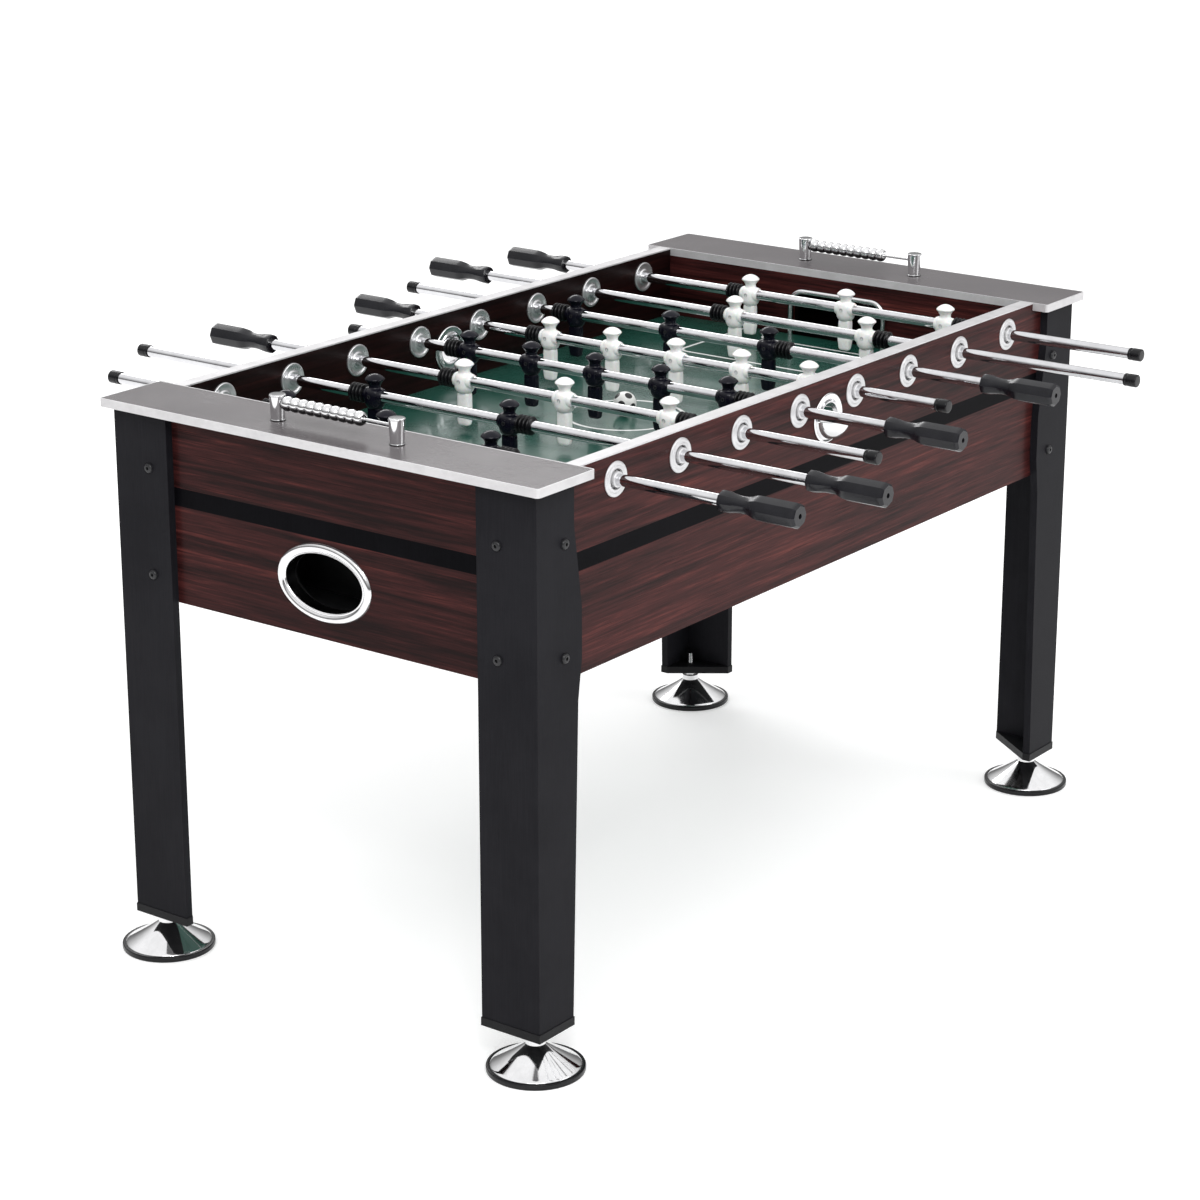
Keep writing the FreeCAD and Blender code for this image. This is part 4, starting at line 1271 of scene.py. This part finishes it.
# ---- goals, ports and cups
@dataclass
class Openings:
    """Chrome goal frames, oval port rings and ball entry cups."""

    goal_tube: float = 4.5 * MM
    goal_bend: float = 24.0 * MM
    port_half: tuple[float, float] = (67.5 * MM, 40.0 * MM)
    bowl: float = 30.0
    bowl_reach: float = 31.4
    bowl_wall: float = 2.6
    bowl_start: float = 1.4

    def goal_path(self) -> np.ndarray:
        """Upside-down U in the plane x = 0: two uprights and a bar joined by quarter turns.

        Returns:
            Points of the centre line, shape (count, 3).
        """
        low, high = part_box("goal_frames")
        half, crown = high.y - self.goal_tube, high.z - self.goal_tube
        turn = np.linspace(0.0, math.pi / 2, 12)
        bend_y = half - self.goal_bend + self.goal_bend * np.cos(turn)
        bend_z = crown - self.goal_bend + self.goal_bend * np.sin(turn)
        right = np.column_stack([np.r_[half, half, bend_y], np.r_[low.z, low.z + 20 * MM, bend_z]])
        whole = np.vstack([right, right[::-1] * [-1, 1]])
        return np.column_stack([np.zeros(len(whole)), whole])

    def port_ring(self) -> Surface:
        """Oval ring about X: each profile point (d, h) sweeps an oval of half axes + d at height h.

        Returns:
            The ring with its face to +X.
        """
        profile = rounded([(0, -18.0), (0, 1.2), (1.6, 3.0), (3.2, 2.4), (6.0, 4.4), (9.5, 5.0), (13.0, 3.6),
                           (15.0, 0.0), (2.0, 0.0), (2.0, -18.0)],
                          [0, 0.8, 0.8, 1.2, 2.0, 2.5, 2.0, 0.4, 0.2, 0], 5, closed=True) * MM
        spread, rise = profile[:, :1], profile[:, 1:]
        wide, tall = self.port_half
        grid = rings(around(120), wide + spread, rise, tall + spread)
        return Surface.from_grid(np.roll(grid, 1, axis=-1), wrap_rows=True)

    def cup_throat(self) -> Surface:
        """Two dished flanges on a throat through the wall; the outer face looks to +Z.

        Returns:
            The closed throat about Z.
        """
        profile = rounded([(22.0, -25.0), (24.5, -24.4), (27.0, -23.2), (31.0, -23.4), (34.5, -24.8),
                           (36.0, -23.6), (36.0, -22.0), (25.0, -22.0), (25.0, 0.0), (36.0, 0.0), (36.0, 1.6),
                           (34.5, 2.8), (31.0, 1.6), (27.0, 1.4), (24.5, 2.6), (22.0, 3.0)],
                          1.0, closed=True) * MM
        return turned(profile, 72, closed=True)

    def scoop(self) -> Surface:
        """Lower half of a thin bowl that stands out of the outer flange.

        Two quarter ovals a wall apart are turned through half a circle, and quads
        between them close the cut edges.

        Returns:
            The closed shell about Z.
        """
        way = np.linspace(0.0, math.pi / 2, 16)
        outer, inner = (np.column_stack([(self.bowl - wall) * np.cos(way),
                                         self.bowl_start + (self.bowl_reach - wall) * np.sin(way)])
                        for wall in (0.0, self.bowl_wall))
        outer[-1, 0] = inner[-1, 0] = 0.0
        loop = np.vstack([outer, inner[::-1]]) * MM
        grid = rings(np.linspace(0.0, math.pi, 36), loop[:, :1], loop[:, 1:])
        shell = Surface.from_grid(grid, wrap_rows=True, wrap_columns=False)
        quads = cells(np.arange(2 * len(way)).reshape(2, len(way)))[0]
        lids = []
        for column, faces in ((0, quads[:, ::-1]), (-1, quads)):
            end = grid[:, column]
            pair = np.vstack([end[:len(way)], end[len(way):][::-1]])
            lids.append(Surface(pair, faces))
        return joined([shell] + lids).welded().outward()

    def build(self) -> None:
        """Make the frames, rings and cups at both ends and sides."""
        low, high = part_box("goal_frames")
        path = self.goal_path()
        frames = [tube(path + np.array([x, 0.0, 0.0]), self.goal_tube, (1.0, 0.0, 0.0))
                  for x in (low.x + self.goal_tube, high.x - self.goal_tube)]
        make_piece("goal_hoops", joined(frames), CHROME, "cabinet", ("goal_frames",))
        level, face = middle("port_rings").z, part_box("end_panel_far")[1].x
        ring = self.port_ring()
        other = ring.laid(np.diag([-1.0, 1.0, 1.0]))
        make_piece("port_bezels", joined([ring.moved(face, 0, level), other.moved(-face, 0, level)]), CHROME,
                   "cabinet", ("port_rings",), 50.0)
        level, face = middle("ball_cups").z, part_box("side_panel_back")[1].y
        back = joined([self.cup_throat(), self.scoop()]).laid(ALONG_Y).moved(0, face, level)
        front = back.laid(np.diag([1.0, -1.0, 1.0]))
        make_piece("entry_cups", joined([back, front]), CHROME, "cabinet",
                   ("ball_cups",), 45.0)


# ---- counters and ball
@dataclass
class Counters:
    """Bead score counters: posts, a wire and ten beads on each ledge; posts and beads in millimetres."""

    post_top: float = 11.5
    post_rise: float = 36.0
    wire: float = 2.0 * MM
    bead: float = 10.0
    bead_length: float = 13.8
    bead_end: float = 5.2
    bead_hole: float = 2.3
    beads: int = 10

    def post(self) -> Surface:
        """Post that widens a little from a foot ring to a flat rimmed top.

        Returns:
            The post about Z, standing at height 0.
        """
        profile = rounded([(0, 0), (10.6, 0), (10.6, 1.4), (9.6, 2.0), (9.6, 3.2), (11.2, 33.6),
                           (self.post_top, 34.0), (self.post_top, 35.2), (10.8, self.post_rise),
                           (0, self.post_rise)],
                          [0, 0.3, 0.3, 0.3, 0.8, 0.3, 0.2, 0.4, 0.3, 0], 5)
        return turned(profile * MM, 56)

    def bead_surface(self) -> Surface:
        """Rounded bead about Z with a hole for the wire.

        With u from a quarter turn below to one above, the radius is
        end + (bead - end) cos(u)^0.8 and the height half + half sin u.

        Returns:
            The closed bead.
        """
        half = self.bead_length / 2
        turn = np.linspace(-math.pi / 2, math.pi / 2, 21)
        radius = self.bead_end + (self.bead - self.bead_end) * np.cos(turn) ** 0.8
        belly = np.column_stack([radius, half + half * np.sin(turn)])
        start, end = ([(self.bead_hole, share * self.bead_length)] for share in (0.02, 0.98))
        profile = np.vstack([start, belly, end])
        return turned(profile * MM, 40, closed=True)

    def build(self) -> None:
        """Stands and beads at both ends."""
        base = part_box("end_ledges")[1].z
        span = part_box("score_stands")[1].y - self.post_top * MM
        posts = []
        bead = self.bead_surface().laid(ALONG_Y)
        for end in ("near", "far"):
            node = "score_beads_" + end
            low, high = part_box(node)
            x, _, level = middle(node)
            posts += [self.post().moved(x, side * span, base) for side in (-1, 1)]
            way = np.array([[x, y, level] for y in (-span, span)])
            posts.append(tube(way, self.wire, (0.0, 0.0, 1.0), 16))
            starts = np.linspace(low.y, high.y - self.bead_length * MM, self.beads)
            # painted shade: each bead darkens to near black below the wire's level, on its underside
            finish = replace(CHROME, name="bead_chrome", dim=(level - 3.8 * MM, level - 0.6 * MM))
            make_piece("beads_" + end, joined([bead.moved(x, y, level) for y in starts]), finish,
                       node, (node,), 60.0)
        # the posts' colour falls to near black at their foot, just above the ledge
        finish = replace(CHROME, name="post_chrome", dim=(base + 1.2 * MM, base + 2.2 * MM))
        make_piece("counter_stands", joined(posts), finish, "cabinet", ("score_stands",), 40.0)


@dataclass
class Ball:
    """The ball on the centre spot."""

    rows: int = 41
    sides: int = 72

    def build(self) -> None:
        """Sphere the size of the CAD ball: a half circle (r cos u, r sin u) turned round."""
        centre = middle("ball")
        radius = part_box("ball")[1].z - centre.z
        turn = np.linspace(-math.pi / 2, math.pi / 2, self.rows)
        profile = np.column_stack([radius * np.cos(turn), radius * np.sin(turn)])
        profile[[0, -1], 0] = 0.0
        sphere = turned(profile, self.sides).moved(*centre)
        skin = BallSkin("ball_skin", tuple(centre))
        make_piece("match_ball", sphere, skin, "ball", ("ball",))


# ---- studio
@dataclass
class Studio:
    """Camera, pale floor and soft lights."""

    eye: Vec = (-3.704, -2.718, 1.917)
    heading: float = 36.73
    dip: float = 18.05
    lens: float = 96.1
    floor_half: float = 40.0

    def camera(self) -> None:
        """Camera that looks along the heading and down by the dip."""
        data = bpy.data.cameras.new("camera")
        data.lens = self.lens
        data.sensor_width = 36.0
        data.clip_end = 200.0
        item = bpy.data.objects.new("camera", data)
        item.location = self.eye
        item.rotation_euler = (math.radians(90.0 - self.dip), 0.0, math.radians(self.heading - 90.0))
        bpy.context.scene.collection.objects.link(item)
        bpy.context.scene.camera = item

    def floor(self) -> None:
        """Wide pale floor."""
        half = self.floor_half
        corners = [(-half, -half, 0.0), (half, -half, 0.0), (half, half, 0.0), (-half, half, 0.0)]
        mesh = bpy.data.meshes.new("floor")
        mesh.from_pydata(corners, [], [(0, 1, 2, 3)])
        item = bpy.data.objects.new("floor", mesh)
        bpy.context.scene.collection.objects.link(item)
        graph = Graph("floor_pale")
        graph.varying(Roughness=graph.noise(2.0) * 0.1 + 0.75)
        graph.fixed(Base_Color=(0.93, 0.93, 0.93, 1.0), Specular_IOR_Level=0.1, Emission_Strength=0.22,
                    Emission_Color=(1.0, 1.0, 1.0, 1.0))
        mesh.materials.append(graph.material)
        item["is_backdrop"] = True

    def lamp(self, name: str, power: float, size: tuple[float, float], spot: Vec, aim: Vec) -> None:
        """Rectangular soft light at a spot, turned to a point.

        Args:
            name: the light's name.
            power: watts.
            size: width and height in metres.
            spot: where it hangs.
            aim: what it faces.
        """
        data = bpy.data.lights.new(name, "AREA")
        data.shape = "RECTANGLE"
        data.size, data.size_y = size
        data.energy = power
        item = bpy.data.objects.new(name, data)
        item.location = spot
        item.rotation_euler = (Vector(aim) - Vector(spot)).to_track_quat("-Z", "Y").to_euler()
        bpy.context.scene.collection.objects.link(item)

    def world(self) -> None:
        """Even pale surroundings, a little darker towards the horizon."""
        world = bpy.data.worlds.new("studio")
        world.use_nodes = True
        bpy.context.scene.world = world
        tree = world.node_tree
        back = tree.nodes["Background"]
        where = tree.nodes.new("ShaderNodeTexCoord")
        split = tree.nodes.new("ShaderNodeSeparateXYZ")
        ramp = tree.nodes.new("ShaderNodeMapRange")
        ramp.interpolation_type = "SMOOTHSTEP"
        for name, value in (("From Min", 0.02), ("From Max", 0.75), ("To Min", 0.16), ("To Max", 1.15)):
            ramp.inputs[name].default_value = value
        tree.links.new(where.outputs["Generated"], split.inputs["Vector"])
        tree.links.new(split.outputs["Z"], ramp.inputs["Value"])
        tree.links.new(ramp.outputs["Result"], back.inputs["Strength"])
        back.inputs["Color"].default_value = (1.0, 1.0, 1.0, 1.0)

    def build(self) -> None:
        """Set the whole studio."""
        self.camera()
        self.floor()
        self.world()
        self.lamp("key", 74.0, (3.0, 2.0), (-2.7, -2.0, 3.7), (0.0, 0.0, 0.6))
        self.lamp("side", 44.0, (2.5, 1.5), (1.5, -4.2, 2.6), (0.2, 0.0, 0.6))
        self.lamp("spark", 14.0, (0.35, 0.35), (-2.9, -2.3, 3.0), (0.0, 0.0, 0.7))
        self.lamp("back", 44.0, (3.0, 1.0), (2.5, 3.2, 3.2), (0.0, 0.0, 0.6))
        bpy.context.scene.view_settings.view_transform = "Standard"


def main() -> list:
    """Build the sub-assemblies in order.
    """
    logging.basicConfig(level=logging.INFO, format="%(message)s")
    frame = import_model()
    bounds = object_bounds()
    Cabinet(frame).build()
    Bolts().build()
    Levelers().build()
    Bearings(frame).build()
    Openings().build()
    for number, men in enumerate((3, 2, 3, 5, 5, 3, 2, 3), start=1):
        Rod(frame, number, men, number in (1, 2, 4, 6)).build()
    Counters().build()
    Ball().build()
    Studio().build()
    return bounds


if __name__ == "__main__":
    CAD_BOX = main()
